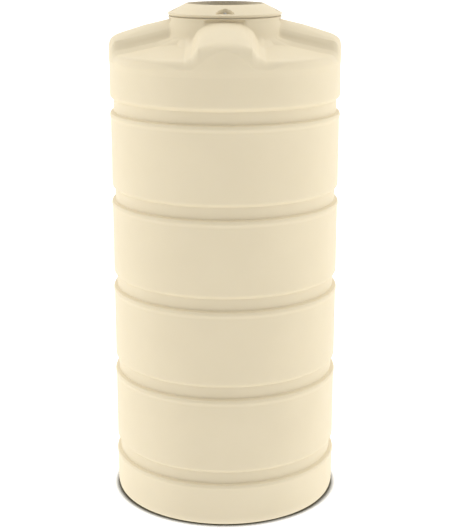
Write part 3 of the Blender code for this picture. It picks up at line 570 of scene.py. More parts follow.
def column_profile(column):
    """The outside of one column from the rim to the band: radii, heights and turns."""
    # Where the neck's line meets the roof's
    r_meet = MEET_START_R
    for _ in range(MEET_ROUNDS):
        r_meet = 0.5 * r_meet + 0.5 * float(neck_r(column_z(column, r_meet)))
    z_meet = float(column_z(column, r_meet))
    meet_turn = float(column_turn(column, r_meet))
    across = TOP_R * math.sin(float(column_turn(column, TOP_R)))
    rows = [(RIM_FLAT, NECK_TOP, meet_turn)]
    for step in range(1, ROUND_ROWS + 1):
        turn = math.pi / 2 * (1 - step / ROUND_ROWS)
        rows.append((
            RIM_FLAT + NECK_ROUND * math.cos(turn),
            NECK_TOP - NECK_ROUND + NECK_ROUND * math.sin(turn),
            meet_turn,
        ))
    z_top = NECK_TOP - NECK_ROUND
    lateral = r_meet * math.sin(meet_turn)
    hollow_depth = float(np.interp(lateral, *HOLLOW))
    z_start = min(z_meet + float(np.interp(across, *STRIP_UP)), z_top - STRIP_BELOW_RIM)
    for step in range(1, NECK_ROWS + 1):
        z = z_top + (z_start - z_top) * step / NECK_ROWS
        hollow = hollow_depth * max(math.sin(math.pi * step / NECK_ROWS), 0.0) ** 0.5
        rows.append((float(neck_r(z)) - hollow, z, meet_turn))
    r_start, r_strip = float(neck_r(z_start)), float(np.interp(across, *STRIP_R))
    z_strip = float(column_z(column, r_strip))
    for step in range(1, STRIP_ROWS + 1):
        share = step / STRIP_ROWS
        r = r_start + (r_strip - r_start) * share
        rows.append((r, z_start + (z_strip - z_start) * share, column_turn(column, max(r, r_meet))))
    crease_z = float(np.interp(across, *CREASE_Z))
    wall_turn = float(column_turn(column, TOP_R))
    crease_r = face_r(wall_turn, crease_z) + float(np.interp(across, *EDGE_PROUD))
    begin = float(np.interp(across, *EDGE_START))
    power = float(np.interp(across, *EDGE_POWER))
    last_turn = math.radians(float(np.interp(across, *EDGE_TURN)))
    for step in range(1, ROOF_ROWS + 1):
        r = r_strip + (begin - r_strip) * step / ROOF_ROWS
        rows.append((r, float(column_z(column, r)), column_turn(column, r)))
    full_h = (float(column_z(column, crease_r)) - crease_z) / (1 - math.cos(last_turn) ** (2 / power))
    full_w = (crease_r - begin) / math.sin(last_turn) ** (2 / power)
    for step in range(1, END_ROWS + 1):
        turn = last_turn * step / END_ROWS
        r = begin + full_w * math.sin(turn) ** (2 / power)
        drop = full_h * (1 - math.cos(turn) ** (2 / power))
        rows.append((r, float(column_z(column, r)) - drop, column_turn(column, r)))
    for step in range(FACE_ROWS):
        share = (step / (FACE_ROWS - 1)) ** FACE_POWER
        z = crease_z - CREASE_DROP + (BAND_Z - crease_z + CREASE_DROP) * share
        rows.append((face_r(wall_turn, z), z, wall_turn))
    return rows


def shell_columns():
    """The top's outside as arrays of (column, row): radius, height and turn about Z."""
    half = np.array([column_profile(column) for column in range(HALF_COLUMNS)])
    # Corners of the neck and the roof are eased along a column.
    first, end = 1 + ROUND_ROWS, -FACE_ROWS - END_ROWS
    before, after = half[:, first:end - 2, :2], half[:, first + 2:end, :2]
    here = half[:, first + 1:end - 1, :2]
    half[:, first + 1:end - 1, :2] = (before + 2 * here + after) / 4
    columns = []
    last = HALF_COLUMNS - 1
    for rib in range(RIB_COUNT):
        base = -math.pi / 2 + rib * 2 * math.pi / RIB_COUNT
        for step in range(-last + 1, last + 1):
            column = half[abs(step)].copy()
            column[:, 2] = base + math.copysign(1.0, step) * column[:, 2]
            columns.append(column)
    return np.array(columns)


def groove(height, top_r):
    """A groove's corners from its lead down to the end of its bead, with their fillets."""
    floor_top = height + GROOVE_FLOOR_UP
    ledge_end = height - GROOVE_LEDGE_DOWN
    return [
        (top_r, floor_top + 0.0190, 0.030),
        (WALL_R - 0.0045, floor_top + 0.0100, 0.010),
        (GROOVE_FLOOR_R, floor_top, 0.004),
        (GROOVE_FLOOR_R, height + 0.0200, 0.030),
        (GROOVE_FLOOR_R - 0.0012, height - 0.0052, 0.0008),
        (WALL_R, ledge_end, 0.003),
        (WALL_R + 0.0055, ledge_end - 0.0145, 0.022),
        (WALL_R, ledge_end - 0.029, 0.045),
    ]


def wall_profile():
    """The wall from the band down to the middle of the base."""
    corners = [
        (BAND_R, BAND_Z, 0.0),
        (0.6014, 2.330, 0.060),
        (0.6034, 2.262, 0.200),
        (TOP_R, 2.210, 0.200),
    ]
    for index in reversed(range(GROOVE_COUNT)):
        top_r = TOP_R if index == GROOVE_COUNT - 1 else WALL_R
        corners += groove(FIRST_GROOVE_Z + index * GROOVE_PITCH, top_r)
    points = rounded(corners, bend=math.radians(12))
    for step in range(BASE_EDGE_STEPS + 1):
        turn = math.pi / 2 * step / BASE_EDGE_STEPS
        points.append((
            WALL_R - BASE_EDGE * (1 - math.cos(turn)),
            BASE_EDGE_H * (1 - math.sin(turn)),
        ))
    return [*points, (0.40, 0.0), (0.20, 0.0), (0.0, 0.0)]


def inner_profile():
    """The inside of the wall from the middle of the base up to the band."""
    inset = SHELL_WALL
    points = [
        (0.0, inset), (0.25, inset), (WALL_R - BASE_EDGE - inset, inset), (WALL_R - inset, 0.030),
    ]
    for index in range(GROOVE_COUNT):
        height = FIRST_GROOVE_Z + index * GROOVE_PITCH
        points += [
            (WALL_R - inset, height - 0.021),
            (GROOVE_FLOOR_R - inset - 0.001, height - 0.009),
            (GROOVE_FLOOR_R - inset, height + 0.061),
            (WALL_R - inset - 0.004, height + 0.072),
            (WALL_R - inset, height + 0.084),
        ]
    return [*points, (TOP_R - inset, 2.26), (0.5952, 2.33)]


def zip_rings(a, turns_a, b, turns_b):
    """Triangles between two rings of vertices that have different counts."""
    faces = []
    i = j = 0
    na, nb = len(a), len(b)
    while i < na or j < nb:
        next_a = turns_a[(i + 1) % na] + 2 * math.pi * ((i + 1) // na) if i < na else math.inf
        next_b = turns_b[(j + 1) % nb] + 2 * math.pi * ((j + 1) // nb) if j < nb else math.inf
        if next_a <= next_b:
            faces.append((a[i % na], b[j % nb], a[(i + 1) % na]))
            i += 1
        else:
            faces.append((a[i % na], b[j % nb], b[(j + 1) % nb]))
            j += 1
    return faces


def shell_skin():
    """The moulded shell with its wall's real thickness: one closed mesh."""
    columns = shell_columns()
    count, rows, _ = columns.shape
    r, z, turn = columns[:, :, 0], columns[:, :, 1], columns[:, :, 2]
    outside = np.stack([r * np.cos(turn), r * np.sin(turn), z], axis=-1)
    along = np.roll(outside, -1, axis=0) - np.roll(outside, 1, axis=0)
    down = np.gradient(outside, axis=1)
    normal = np.cross(along, down)
    normal /= np.linalg.norm(normal, axis=-1, keepdims=True)
    outward = np.stack([np.cos(turn), np.sin(turn), np.ones_like(turn)], axis=-1)
    normal *= np.sign(np.sum(normal * outward, axis=-1, keepdims=True))
    kept = [0, *range(1 + ROUND_ROWS, rows - 1, 3), rows - 1]
    inside = outside[:, kept] - SHELL_WALL * normal[:, kept]
    vertices, faces = [], []

    def add_ring(points):
        vertices.extend(points)
        return list(range(len(vertices) - len(points), len(vertices)))

    def add_quads(upper, lower):
        size = len(upper)
        for i in range(size):
            j = (i + 1) % size
            faces.append((upper[i], lower[i], lower[j], upper[j]))

    def circle(radius, height, angles):
        return [(radius * math.cos(t), radius * math.sin(t), height) for t in angles]

    rim_turns = turn[:, 0]
    # The mouth's edge and the flat rim
    mouth = [
        (RIM_FLAT - 0.002, NECK_TOP - SHELL_WALL),
        (MOUTH_R + 0.001, NECK_TOP - SHELL_WALL),
        (MOUTH_R, NECK_TOP - SHELL_WALL + 0.001),
        (MOUTH_R, NECK_TOP - 0.001),
        (MOUTH_R + 0.001, NECK_TOP),
    ]
    rings = [add_ring(circle(radius, height, rim_turns)) for radius, height in mouth]
    rings += [add_ring([tuple(p) for p in outside[:, row]]) for row in range(rows)]
    for upper, lower in zip(rings, rings[1:]):
        add_quads(upper, lower)
    even = [-math.pi / 2 + 2 * math.pi * i / FINE for i in range(FINE)]
    wall = []
    profile = wall_profile()[1:]
    for radius, height in profile[:-1]:
        wall.append(add_ring(circle(radius, height, even)))
    start_turn = turn[:, -1]
    shift = int(np.argmin(np.abs(start_turn + math.pi / 2)))
    band = rings[-1][shift:] + rings[-1][:shift]
    band_turns = [start_turn[(i + shift) % count] for i in range(count)]
    band_turns = [t if t > -math.pi / 2 - 1e-6 else t + 2 * math.pi for t in band_turns]
    faces.extend(zip_rings(band, band_turns, wall[0], even))
    for upper, lower in zip(wall, wall[1:]):
        add_quads(upper, lower)
    middle = add_ring([(0.0, 0.0, 0.0)])[0]
    faces.extend((wall[-1][i], middle, wall[-1][(i + 1) % FINE]) for i in range(FINE))

    floor = inner_profile()
    centre = add_ring([(0.0, 0.0, floor[0][1])])[0]
    inner_wall = [add_ring(circle(radius, height, even)) for radius, height in floor[1:]]
    faces.extend((inner_wall[0][i], centre, inner_wall[0][(i + 1) % FINE]) for i in range(FINE))
    for upper, lower in zip(inner_wall, inner_wall[1:]):
        add_quads(upper, lower)
    inner = [add_ring([tuple(p) for p in inside[:, row]]) for row in range(1, len(kept))]
    last = inner[-1][shift:] + inner[-1][:shift]
    faces.extend(zip_rings(last, band_turns, inner_wall[-1], even))
    for upper, lower in zip(inner, inner[1:]):
        add_quads(upper, lower)
    add_quads(rings[0], inner[0])
    shell = solid("shell_skin", vertices, faces)

    for flange_r, tube_r, height in (
        (OUTLET_FLANGE_R, OUTLET_TUBE_R, OUTLET_Z),
        (OVERFLOW_FLANGE_R, OVERFLOW_TUBE_R, OVERFLOW_Z),
    ):
        pad_r = flange_r + 0.013
        corners = [
            (0.0, PAD_Y, 0.0), (pad_r - 0.004, PAD_Y, 0.004), (pad_r + 0.002, PAD_Y - 0.006, 0.0),
            (pad_r + 0.002, PAD_INNER_Y, 0.0), (0.0, PAD_INNER_Y, 0.0),
        ]
        pad = lathe("pad", rounded(corners), ROUND, False, towards_back(0.0, height))
        hole = cylinder("hole", tube_r + 0.001, 0.5, 0.7, ROUND, towards_back(0.0, height))
        boolean(shell, [pad], "UNION")
        boolean(shell, [hole], "DIFFERENCE")
    holes = [
        cylinder(
            "hole", SCREW_HOLE_R, NECK_TOP - 0.02, NECK_TOP + 0.02, 16, around(angle, SCREW_CENTRE_R),
        )
        for angle in POCKET_ANGLES
    ]
    boolean(shell, holes, "DIFFERENCE")
    return dress(shell, "cream_plastic", nodes=["tank_shell"], sharp=math.radians(40))


POCKET_ANGLES = [-math.pi / 2 + 2 * math.pi * i / POCKET_COUNT for i in range(POCKET_COUNT)]


# Lid ring

def slope_z(radius):
    share = (NECK_R - radius) / (NECK_R - LID_BORE_R)
    return LID_BOTTOM + LIP_H + share * (LID_TOP - LID_BOTTOM - LIP_H)


def keyhole(extra):
    """A pocket seen from above, about its centre, with the driver's hole on its inner side."""
    apart = POCKET_CENTRE_R - SCREW_CENTRE_R
    big, small = POCKET_R + extra, DRIVER_R + extra
    crossing = (apart**2 + big**2 - small**2) / (2 * apart)
    opening = math.acos(crossing / big)
    reach = math.acos((crossing - apart) / small)
    points = arc((0.0, 0.0), big, math.pi + opening, 3 * math.pi - opening, 72)
    return points + arc((-apart, 0.0), small, math.pi - reach, math.pi + reach, 24)[1:-1]


def lid_ring():
    hollow_in, hollow_out = LID_BORE_R + LID_WALL, NECK_R - LIP_W
    sleeve = BASKET_RIM_TOP + GAP
    profile = rounded([
        (LID_BORE_R, LID_TOP, 0.0009),
        (NECK_R, LID_BOTTOM + LIP_H, 0.0025),
        (NECK_R, LID_BOTTOM, 0.0012),
        (hollow_out, LID_BOTTOM, 0.0005),
        (hollow_out, slope_z(hollow_out) - LID_TOP_T, 0.002),
        (hollow_in, slope_z(hollow_in) - LID_TOP_T, 0.002),
        (hollow_in, sleeve, 0.0005),
        (LID_BORE_R, sleeve, 0.0005),
    ], closed=True)
    ring = lathe("lid_ring_skin", profile, FINE)
    core_in, core_out = LID_BORE_R + LID_WALL / 2, NECK_R - LIP_W / 2
    for angle in POCKET_ANGLES:
        place = around(angle, POCKET_CENTRE_R)
        core = lathe("core", [
            (core_in, slope_z(core_in) - LID_TOP_T / 2), (core_out, slope_z(core_out) - LID_TOP_T / 2),
            (core_out, LID_BOTTOM - 0.02), (core_in, LID_BOTTOM - 0.02),
        ], FINE)
        wall_z = POCKET_FLOOR_Z - POCKET_WALL
        wall = prism("wall", keyhole(POCKET_WALL), wall_z, LID_TOP + 0.02, place)
        boolean(wall, [core], "INTERSECT")
        boolean(ring, [wall], "UNION")
    for angle in POCKET_ANGLES:
        place = around(angle, POCKET_CENTRE_R)
        screw = around(angle, SCREW_CENTRE_R)
        boss = cylinder("boss", 0.009, NECK_TOP + GAP, POCKET_FLOOR_Z - POCKET_WALL / 2, 48, screw)
        boolean(ring, [boss], "UNION")
        pocket = prism("pocket", keyhole(0.0), POCKET_FLOOR_Z, LID_TOP + 0.02, place)
        hole = cylinder("hole", SCREW_HOLE_R, NECK_TOP - 0.02, LID_TOP, 24, screw)
        boolean(ring, [pocket, hole], "DIFFERENCE")
    return dress(ring, "cream_plastic", nodes=["lid_ring"])


def lid_seal():
    bottom = NECK_TOP + GAP
    profile = rounded([
        (SEAL_R, bottom + SEAL_T, 0.0015), (SEAL_R, bottom, 0.0015),
        (SEAL_INNER_R, bottom, 0.0015), (SEAL_INNER_R, bottom + SEAL_T, 0.0015),
    ], closed=True)
    dress(lathe("seal_skin", profile, FINE), "pale_silicone", nodes=["lid_seal"])


def hexagon(corner_r):
    turns = [i * math.pi / 3 for i in range(6)]
    return [(corner_r * math.cos(turn), corner_r * math.sin(turn)) for turn in turns]


def lid_screws():
    washer_z = POCKET_FLOOR_Z + GAP
    head_z = washer_z + WASHER_T + GAP
    washer_profile = rounded([
        (WASHER_R, WASHER_T, 0.0004), (WASHER_R, 0.0, 0.0004),
        (SCREW_HOLE_R, 0.0, 0.0002), (SCREW_HOLE_R, WASHER_T, 0.0002),
    ], closed=True)
    thread = []
    z = NECK_TOP - head_z
    while z > -0.037:
        thread += [(SCREW_R, z), (THREAD_R, z - THREAD_PITCH / 2)]
        z -= THREAD_PITCH
    screw_profile = [
        *rounded([
            (0.0, 0.005, 0.0), (0.0075, 0.005, 0.0012), (0.008, 0.0, 0.0004), (SCREW_R, 0.0, 0.0002),
            (SCREW_R, NECK_TOP + GAP - head_z, 0.0),
        ]),
        *thread, (0.0, -0.040),
    ]
    for index, angle in enumerate(POCKET_ANGLES, 1):
        place = around(angle, SCREW_CENTRE_R, washer_z)
        washer = lathe(f"washer_skin_{index}", washer_profile, 64, True, place)
        dress(washer, "stainless", nodes=[f"lid_washer_{index}"])
        place = around(angle, SCREW_CENTRE_R, head_z)
        screw = lathe(f"screw_skin_{index}", screw_profile, 64, False, place)
        socket = prism("socket", hexagon(0.0034), 0.002, 0.01, place)
        boolean(screw, [socket], "DIFFERENCE")
        dress(screw, "stainless", nodes=[f"lid_screw_{index}"])


# Strainer

def basket_r(depth):
    return BASKET_R - BASKET_TAPER * depth / BASKET_DEPTH


def stadium(width, height, steps=8):
    """A slot's outline with round ends, standing along its second axis."""
    half = height / 2 - width / 2
    top = arc((0.0, half), width / 2, 0.0, math.pi, steps)
    return top + arc((0.0, -half), width / 2, math.pi, 2 * math.pi, steps)


def strainer():
    top, bottom = BASKET_RIM_TOP, BASKET_RIM_TOP - BASKET_DEPTH
    foot = basket_r(BASKET_DEPTH)
    lip = foot - BASKET_WALL - 0.016
    profile = rounded([
        (BASKET_R - BASKET_WALL, top, 0.002), (BASKET_R + BASKET_RIM_W, top, 0.001),
        (BASKET_R + BASKET_RIM_W, top - BASKET_WALL, 0.001), (BASKET_R, top - BASKET_WALL, 0.0015),
        (foot, bottom, 0.002), (lip, bottom, 0.001), (lip, bottom + BASKET_WALL, 0.001),
        (foot - BASKET_WALL, bottom + BASKET_WALL, 0.001),
    ], closed=True)
    basket = lathe("basket_skin", profile, 160)
    slots = []
    for index in range(SLOT_COUNT):
        turn = 2 * math.pi * (index + 0.5) / SLOT_COUNT
        place = (
            Matrix.Rotation(turn, 4, "Z")
            @ Matrix.Translation((BASKET_R - 0.005, 0.0, top - BASKET_DEPTH / 2))
            @ Matrix.Rotation(math.pi / 2, 4, "Y") @ Matrix.Rotation(math.pi / 2, 4, "Z")
        )
        slots.append(prism("slot", stadium(0.012, 0.080), -0.016, 0.016, place))
    boolean(basket, slots, "DIFFERENCE")
    dress(basket, "black_plastic", nodes=["strainer_basket"])
    mesh_z = bottom + BASKET_WALL + GAP + 0.001
    weave("strainer_weave", foot - BASKET_WALL - 0.001, 0.008, 0.00045,
          Matrix.Translation((0.0, 0.0, mesh_z)), "strainer_mesh", 0.0006)


def tube(path, radius, sides, vertices, faces, closed=False):
    """Adds a tube along a path to lists of vertices and faces, its ends closed."""
    path = [Vector(p) for p in path]
    count = len(path)
    start = len(vertices)
    for i, point in enumerate(path):
        before = path[(i - 1) % count] if closed else path[max(i - 1, 0)]
        after = path[(i + 1) % count] if closed else path[min(i + 1, count - 1)]
        along = (after - before).normalized()
        across = along.cross(Vector((0.0, 0.0, 1.0)))
        if across.length < 1e-4:
            across = along.cross(Vector((0.0, 1.0, 0.0)))
        across.normalize()
        up = across.cross(along)
        for side in range(sides):
            angle = 2 * math.pi * side / sides
            offset = across * math.cos(angle) + up * math.sin(angle)
            vertices.append(tuple(point + offset * radius))
    spans = count if closed else count - 1
    for i in range(spans):
        for side in range(sides):
            other = (side + 1) % sides
            a, b = start + i * sides, start + (i + 1) % count * sides
            faces.append((a + side, a + other, b + other, b + side))
    if not closed:
        faces.append(tuple(start + side for side in reversed(range(sides))))
        faces.append(tuple(start + (count - 1) * sides + side for side in range(sides)))


def weave(name, radius, pitch, wire_r, place, node, rim_r):
    """Woven wire inside a hoop: each wire passes over and under those it crosses."""
    vertices, faces = [], []
    reach = int(radius / pitch)
    for across in range(2):
        for i in range(-reach, reach + 1):
            half = math.sqrt(max(radius**2 - (i * pitch) ** 2, 0.0))
            if half < pitch:
                continue
            inner = int(half / (pitch / 2))
            steps = [-half, *[k * pitch / 2 for k in range(-inner + 1, inner)], half]
            path = []
            for s in steps:
                wave = wire_r * math.cos(math.pi * (s / pitch + i + across))
                here = (s, i * pitch, wave) if across else (i * pitch, s, wave)
                path.append(here)
            tube(path, wire_r, 5, vertices, faces)
    turns = np.linspace(0, 2 * math.pi, ROUND + 1)[:-1]
    hoop = [(radius * math.cos(turn), radius * math.sin(turn), 0.0) for turn in turns]
    tube(hoop, rim_r, 8, vertices, faces, closed=True)
    mesh = solid(name, vertices, faces)
    mesh.data.transform(place)
    dress(mesh, "stainless", nodes=[node], sharp=math.radians(80))


# Fittings at the back

def wall_fitting(name, tube_r, bore_r, flange_r, tube_end, z):
    start = PAD_INNER_Y - 0.032
    profile = rounded([
        (tube_r, tube_end, 0.0008), (tube_r, FLANGE_FACE_Y, 0.002), (flange_r, FLANGE_FACE_Y, 0.003),
        (flange_r, FLANGE_Y, 0.0008), (tube_r, FLANGE_Y, 0.0), (tube_r, start, 0.0008),
        (bore_r, start, 0.0008), (bore_r, tube_end, 0.0008),
    ], closed=True)
    dress(lathe(name + "_fitting_skin", profile, ROUND, True, towards_back(0.0, z)), "black_plastic",
          nodes=[name + "_fitting"])
    inner = tube_r + 0.001
    washer = rounded([
        (flange_r, 0.003, 0.0008), (flange_r, 0.0, 0.0008), (inner, 0.0, 0.0), (inner, 0.003, 0.0),
    ], closed=True)
    place = towards_back(PAD_Y + GAP, z)
    dress(lathe(name + "_washer_skin", washer, ROUND, True, place), "black_rubber",
          nodes=[name + "_outer_washer"])


def valve():
    axis = towards_back(0.0, OUTLET_Z)
    bore, spigot, cavity = OUTLET_BORE_R, OUTLET_TUBE_R + GAP, 0.0325
    shoulder = VALVE_Y + 0.0183
    seat = VALVE_Y + 0.024
    profile = rounded([
        (VALVE_R, VALVE_END_Y, 0.0012), (VALVE_R, VALVE_END_Y - 0.012, 0.001),
        (0.0395, VALVE_END_Y - 0.0135, 0.002), (0.0395, VALVE_Y + 0.023, 0.002),
        (VALVE_R, VALVE_Y + 0.0205, 0.001), (VALVE_R, VALVE_Y, 0.001),
        (spigot, VALVE_Y, 0.0008), (spigot, shoulder, 0.0), (bore, shoulder, 0.0),
        (bore, seat, 0.0), (cavity, seat, 0.0), (cavity, VALVE_END_Y, 0.0004),
    ], closed=True)
    body = lathe("valve_body_skin", profile, ROUND, True, axis)
    nut_end = VALVE_Y + 0.0197
    nut = prism("nut", hexagon(0.046), VALVE_Y, nut_end, axis)
    cone = lathe("cone", rounded([
        (0.0, VALVE_Y - 0.001, 0.0), (0.0422, VALVE_Y - 0.001, 0.0), (0.0462, VALVE_Y + 0.0025, 0.0),
        (0.0462, nut_end - 0.0025, 0.0), (0.0422, nut_end + 0.001, 0.0), (0.0, nut_end + 0.001, 0.0),
    ]), ROUND, False, axis)
    boolean(nut, [cone], "INTERSECT")
    boolean(nut, [cylinder("core", 0.0395, 0.5, 0.8, ROUND, axis)], "DIFFERENCE")
    boss_top = OUTLET_Z + VALVE_R + 0.014
    pivot = Matrix.Translation((0.0, BALL_Y, 0.0))
    boss = lathe("boss", rounded([
        (0.0, boss_top, 0.0), (0.015, boss_top, 0.0012), (0.015, OUTLET_Z + 0.044, 0.004),
        (0.019, OUTLET_Z + 0.037, 0.0), (0.019, OUTLET_Z + 0.0345, 0.0), (0.0, OUTLET_Z + 0.0345, 0.0),
    ]), 64, False, pivot)
    boolean(body, [nut, boss], "UNION")
    holes = [
        cylinder("hole", STEM_HOLE_R, OUTLET_Z, boss_top + 0.02, 48, pivot),
        cylinder("hole", 0.0113, boss_top - 0.006, boss_top + 0.02, 48, pivot),
    ]
    boolean(body, holes, "DIFFERENCE")
    dress(body, "brass", nodes=["valve_body"])

    face = VALVE_END_Y + GAP + 0.010
    cap_in = 2 * BALL_Y - seat
    cap = lathe("valve_end_skin", rounded([
        (VALVE_R, face, 0.0015), (VALVE_R, VALVE_END_Y + GAP, 0.0012), (0.0322, VALVE_END_Y + GAP, 0.0),
        (0.0322, cap_in, 0.0006), (bore, cap_in, 0.0006), (bore, face, 0.0012),
    ], closed=True), ROUND, True, axis)
    dress(cap, "brass", nodes=["valve_end_cap"])

    handle = Matrix.Translation((0.0, BALL_Y, OUTLET_Z))
    gland_z = 0.055 + GAP
    lever_z = gland_z + NUT_T + GAP
    nut_z = lever_z + LEVER_T + GAP
    stem_top = nut_z + NUT_T + 0.003
    stem = lathe("valve_stem_skin", rounded([
        (0.0, stem_top, 0.0), (0.007, stem_top, 0.0012), (0.007, 0.0268, 0.0006), (0.0, 0.0268, 0.0),
    ]), 64, False, handle)
    dress(stem, "stainless", "lever", ["valve_stem"])
    for name, corner_r, bottom, look, body_name, node in (
        ("gland_skin", 0.0135, gland_z, "brass", "tank", "valve_gland_nut"),
        ("lever_nut_skin", 0.0115, nut_z, "stainless", "lever", "valve_lever_nut"),
    ):
        top = bottom + NUT_T
        nut = prism("nut", hexagon(corner_r), bottom, top, handle)
        cone = lathe("cone", [
            (0.0, top), (corner_r * 0.90, top), (corner_r * 1.01, top - 0.0012),
            (corner_r * 1.01, bottom), (0.0, bottom),
        ], ROUND, False, handle)
        boolean(nut, [cone], "INTERSECT")
        hole = cylinder("hole", STEM_HOLE_R, bottom - 0.01, top + 0.01, 64, handle)
        boolean(nut, [hole], "DIFFERENCE")
        nut.name = name
        nut.data.name = name
        dress(nut, look, body_name, [node])
    lever = prism("lever_skin", lever_outline(), lever_z, lever_z + LEVER_T, handle, 0.0012)
    hole = cylinder("hole", STEM_HOLE_R, lever_z - 0.01, lever_z + LEVER_T + 0.01, 64, handle)
    boolean(lever, [hole], "DIFFERENCE")
    dress(lever, "red_lever", "lever", ["valve_lever"])


def lever_outline():
    """A round hub, a waist and a broad round end, joined by smooth edges."""
    hub = arc((0.0, 0.0), 0.015, math.radians(62), math.radians(298), 28)
    end = arc((0.113, 0.0), 0.012, -math.pi / 2, math.pi / 2, 20)
    lower = []
    start, finish = hub[-1], end[0]
    for step in range(1, 16):
        share = step / 16
        x = start[0] + (finish[0] - start[0]) * share
        waist = np.interp(
            x, (start[0], 0.020, 0.044, 0.075, finish[0]), (-start[1], 0.0105, 0.008, 0.0101, 0.012),
        )
        lower.append((x, -float(waist)))
    upper = [(x, -y) for x, y in reversed(lower)]
    return [*hub, *lower, *end, *upper]


def overflow_screen():
    tube_end = FLANGE_FACE_Y + OVERFLOW_TUBE_L
    screen_y = tube_end + GAP
    inner = 0.0453
    cap_r = inner + 0.004
    lip_y = screen_y + 0.0015 + GAP
    cap = lathe("screen_cap_skin", rounded([
        (cap_r, lip_y + 0.004, 0.002), (cap_r, tube_end - 0.022, 0.001),
        (inner, tube_end - 0.022, 0.0006), (inner, lip_y, 0.0),
        (0.0385, lip_y, 0.0004), (0.0385, lip_y + 0.004, 0.001),
    ], closed=True), ROUND, True, towards_back(0.0, OVERFLOW_Z))
    grips = []
    for index in range(GRIP_COUNT):
        turn = 2 * math.pi * index / GRIP_COUNT
        place = towards_back(0.0, OVERFLOW_Z) @ around(turn, cap_r + 0.0006)
        grips.append(cylinder("grip", 0.0012, tube_end - 0.020, lip_y + 0.0015, 12, place))
    boolean(cap, grips, "DIFFERENCE")
    dress(cap, "black_plastic", nodes=["overflow_screen_cap"])
    weave("screen_weave", 0.0440, 0.0030, 0.00028, towards_back(screen_y + 0.00075, OVERFLOW_Z),
          "overflow_screen", 0.0007)


# Nodes that keep their own shape get finished materials.

def dress_nodes():
    slots = {
        "black_rubber": ("outlet_inner_washer", "overflow_inner_washer", "valve_packing"),
        "black_plastic": ("outlet_backnut", "overflow_backnut"),
        "white_seat": ("valve_seat_inner", "valve_seat_outer"),
        "stainless": ("valve_ball",),
    }
    for look, names in slots.items():
        for name in names:
            for place in frame["nodes"][name].material_slots:
                place.material = LOOKS[look]


shell_skin()
lid_ring()
lid_seal()
lid_screws()
strainer()
wall_fitting("outlet", OUTLET_TUBE_R, OUTLET_BORE_R, OUTLET_FLANGE_R, VALVE_Y + 0.018, OUTLET_Z)
wall_fitting(
    "overflow", OVERFLOW_TUBE_R, OVERFLOW_BORE_R, OVERFLOW_FLANGE_R, FLANGE_FACE_Y + OVERFLOW_TUBE_L,
    OVERFLOW_Z,
)
valve()
overflow_screen()
dress_nodes()


# Floor, light and camera

TOP_LIGHT = 1.38
SIDE_LIGHT = 2.00
BACK_LIGHT = 0.80
FLOOR_LIGHT = 1.09
DOWN_LIGHT = 0.66
FLOOR_GLOW = 0.35
FLOOR_SHADE_REACH = 0.05
FLOOR_HALF = 90.0
FLOOR_Z = -0.0005
LENS = 84.76
CAMERA_PLACE = (0.0, -6.5497, 2.9985)
CAMERA_TILT = 14.88


def floor():
    """A pale floor with a painted contact shadow where the tank stands on it; it lets the light from
    below through.
    """
    mesh = bpy.data.meshes.new("floor")
    half = FLOOR_HALF
    corners = [(-half, -half, 0), (half, -half, 0), (half, half, 0), (-half, half, 0)]
    mesh.from_pydata(corners, [], [(0, 1, 2, 3)])
    ground = bpy.data.objects.new("floor", mesh)
    ground.location.z = FLOOR_Z
    ground.visible_diffuse = False
    ground.visible_shadow = False
    bpy.context.scene.collection.objects.link(ground)
    n = Nodes("pale_floor")
    # Painted contact shadow: ambient occlusion darkens the floor's colour and its glow near the tank
    painted_shadow_ao = n.add("ShaderNodeAmbientOcclusion", samples=8)
    painted_shadow_ao.inputs["Distance"].default_value = FLOOR_SHADE_REACH
    colour = n.ramp(painted_shadow_ao.outputs["AO"], (0.05, 0.045, 0.03), (0.92, 0.92, 0.915), 0.5, 0.85)
    mesh.materials.append(n.set(
        Base_Color=colour, Roughness=0.9, Specular_IOR_Level=0.1, Emission_Color=colour,
        Emission_Strength=FLOOR_GLOW,
    ))


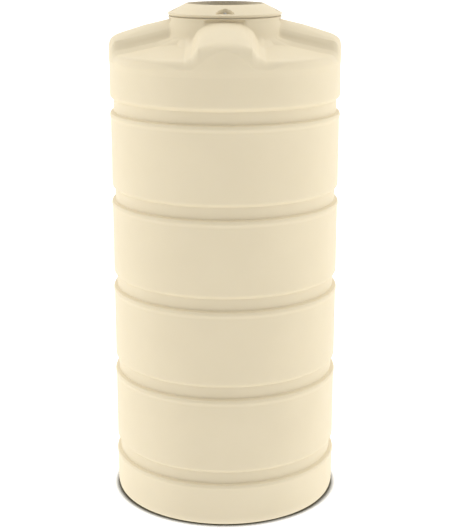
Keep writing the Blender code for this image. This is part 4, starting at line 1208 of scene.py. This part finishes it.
def world():
    """A studio that is bright at the tank's sides and overhead, less so behind it and dim in
    front of it. The light from below shines through the floor."""
    made = bpy.data.worlds.new("studio")
    made.use_nodes = True
    tree = made.node_tree
    axes = tree.nodes.new("ShaderNodeSeparateXYZ")
    tree.links.new(tree.nodes.new("ShaderNodeTexCoord").outputs["Generated"], axes.inputs[0])
    aside, back, up = axes.outputs

    def reckon(operation, *values):
        node = tree.nodes.new("ShaderNodeMath")
        node.operation = operation
        for socket, value in zip(node.inputs, values):
            if isinstance(value, float):
                socket.default_value = value
            else:
                tree.links.new(value, socket)
        return node.outputs[0]

    def rise(value, start, end, first, last):
        node = tree.nodes.new("ShaderNodeMapRange")
        node.interpolation_type = "SMOOTHSTEP"
        names = ("From Min", "From Max", "To Min", "To Max")
        for name, amount in zip(names, (start, end, first, last)):
            node.inputs[name].default_value = amount
        tree.links.new(value, node.inputs["Value"])
        return node.outputs["Result"]

    light = rise(up, 0.45, 0.95, 0.0, TOP_LIGHT)
    light = reckon("ADD", light, rise(reckon("ABSOLUTE", aside), 0.45, 0.95, 0.0, SIDE_LIGHT))
    light = reckon("ADD", light, rise(back, -0.1, 0.9, 0.0, BACK_LIGHT))
    light = reckon("MULTIPLY", light, rise(up, 0.0, 0.02, 0.0, 1.0))
    light = reckon("ADD", light, rise(up, 0.0, 0.02, FLOOR_LIGHT, 0.0))
    light = reckon("ADD", light, rise(up, -0.6, -0.4, DOWN_LIGHT, 0.0))
    # The backdrop itself is white from every side
    camera_ray = tree.nodes.new("ShaderNodeLightPath").outputs["Is Camera Ray"]
    light = reckon("MAXIMUM", light, camera_ray)
    background = tree.nodes["Background"]
    background.inputs["Color"].default_value = (1.0, 1.0, 1.0, 1.0)
    tree.links.new(light, background.inputs["Strength"])
    bpy.context.scene.world = made


def camera():
    data = bpy.data.cameras.new("camera")
    data.lens = LENS
    data.clip_end = 400.0
    made = bpy.data.objects.new("camera", data)
    made.location = CAMERA_PLACE
    made.rotation_euler = (math.radians(90 - CAMERA_TILT), 0.0, 0.0)
    bpy.context.scene.collection.objects.link(made)
    bpy.context.scene.camera = made


floor()
world()
camera()
view = bpy.context.scene.view_settings
view.view_transform = "Standard"
view.look = "None"
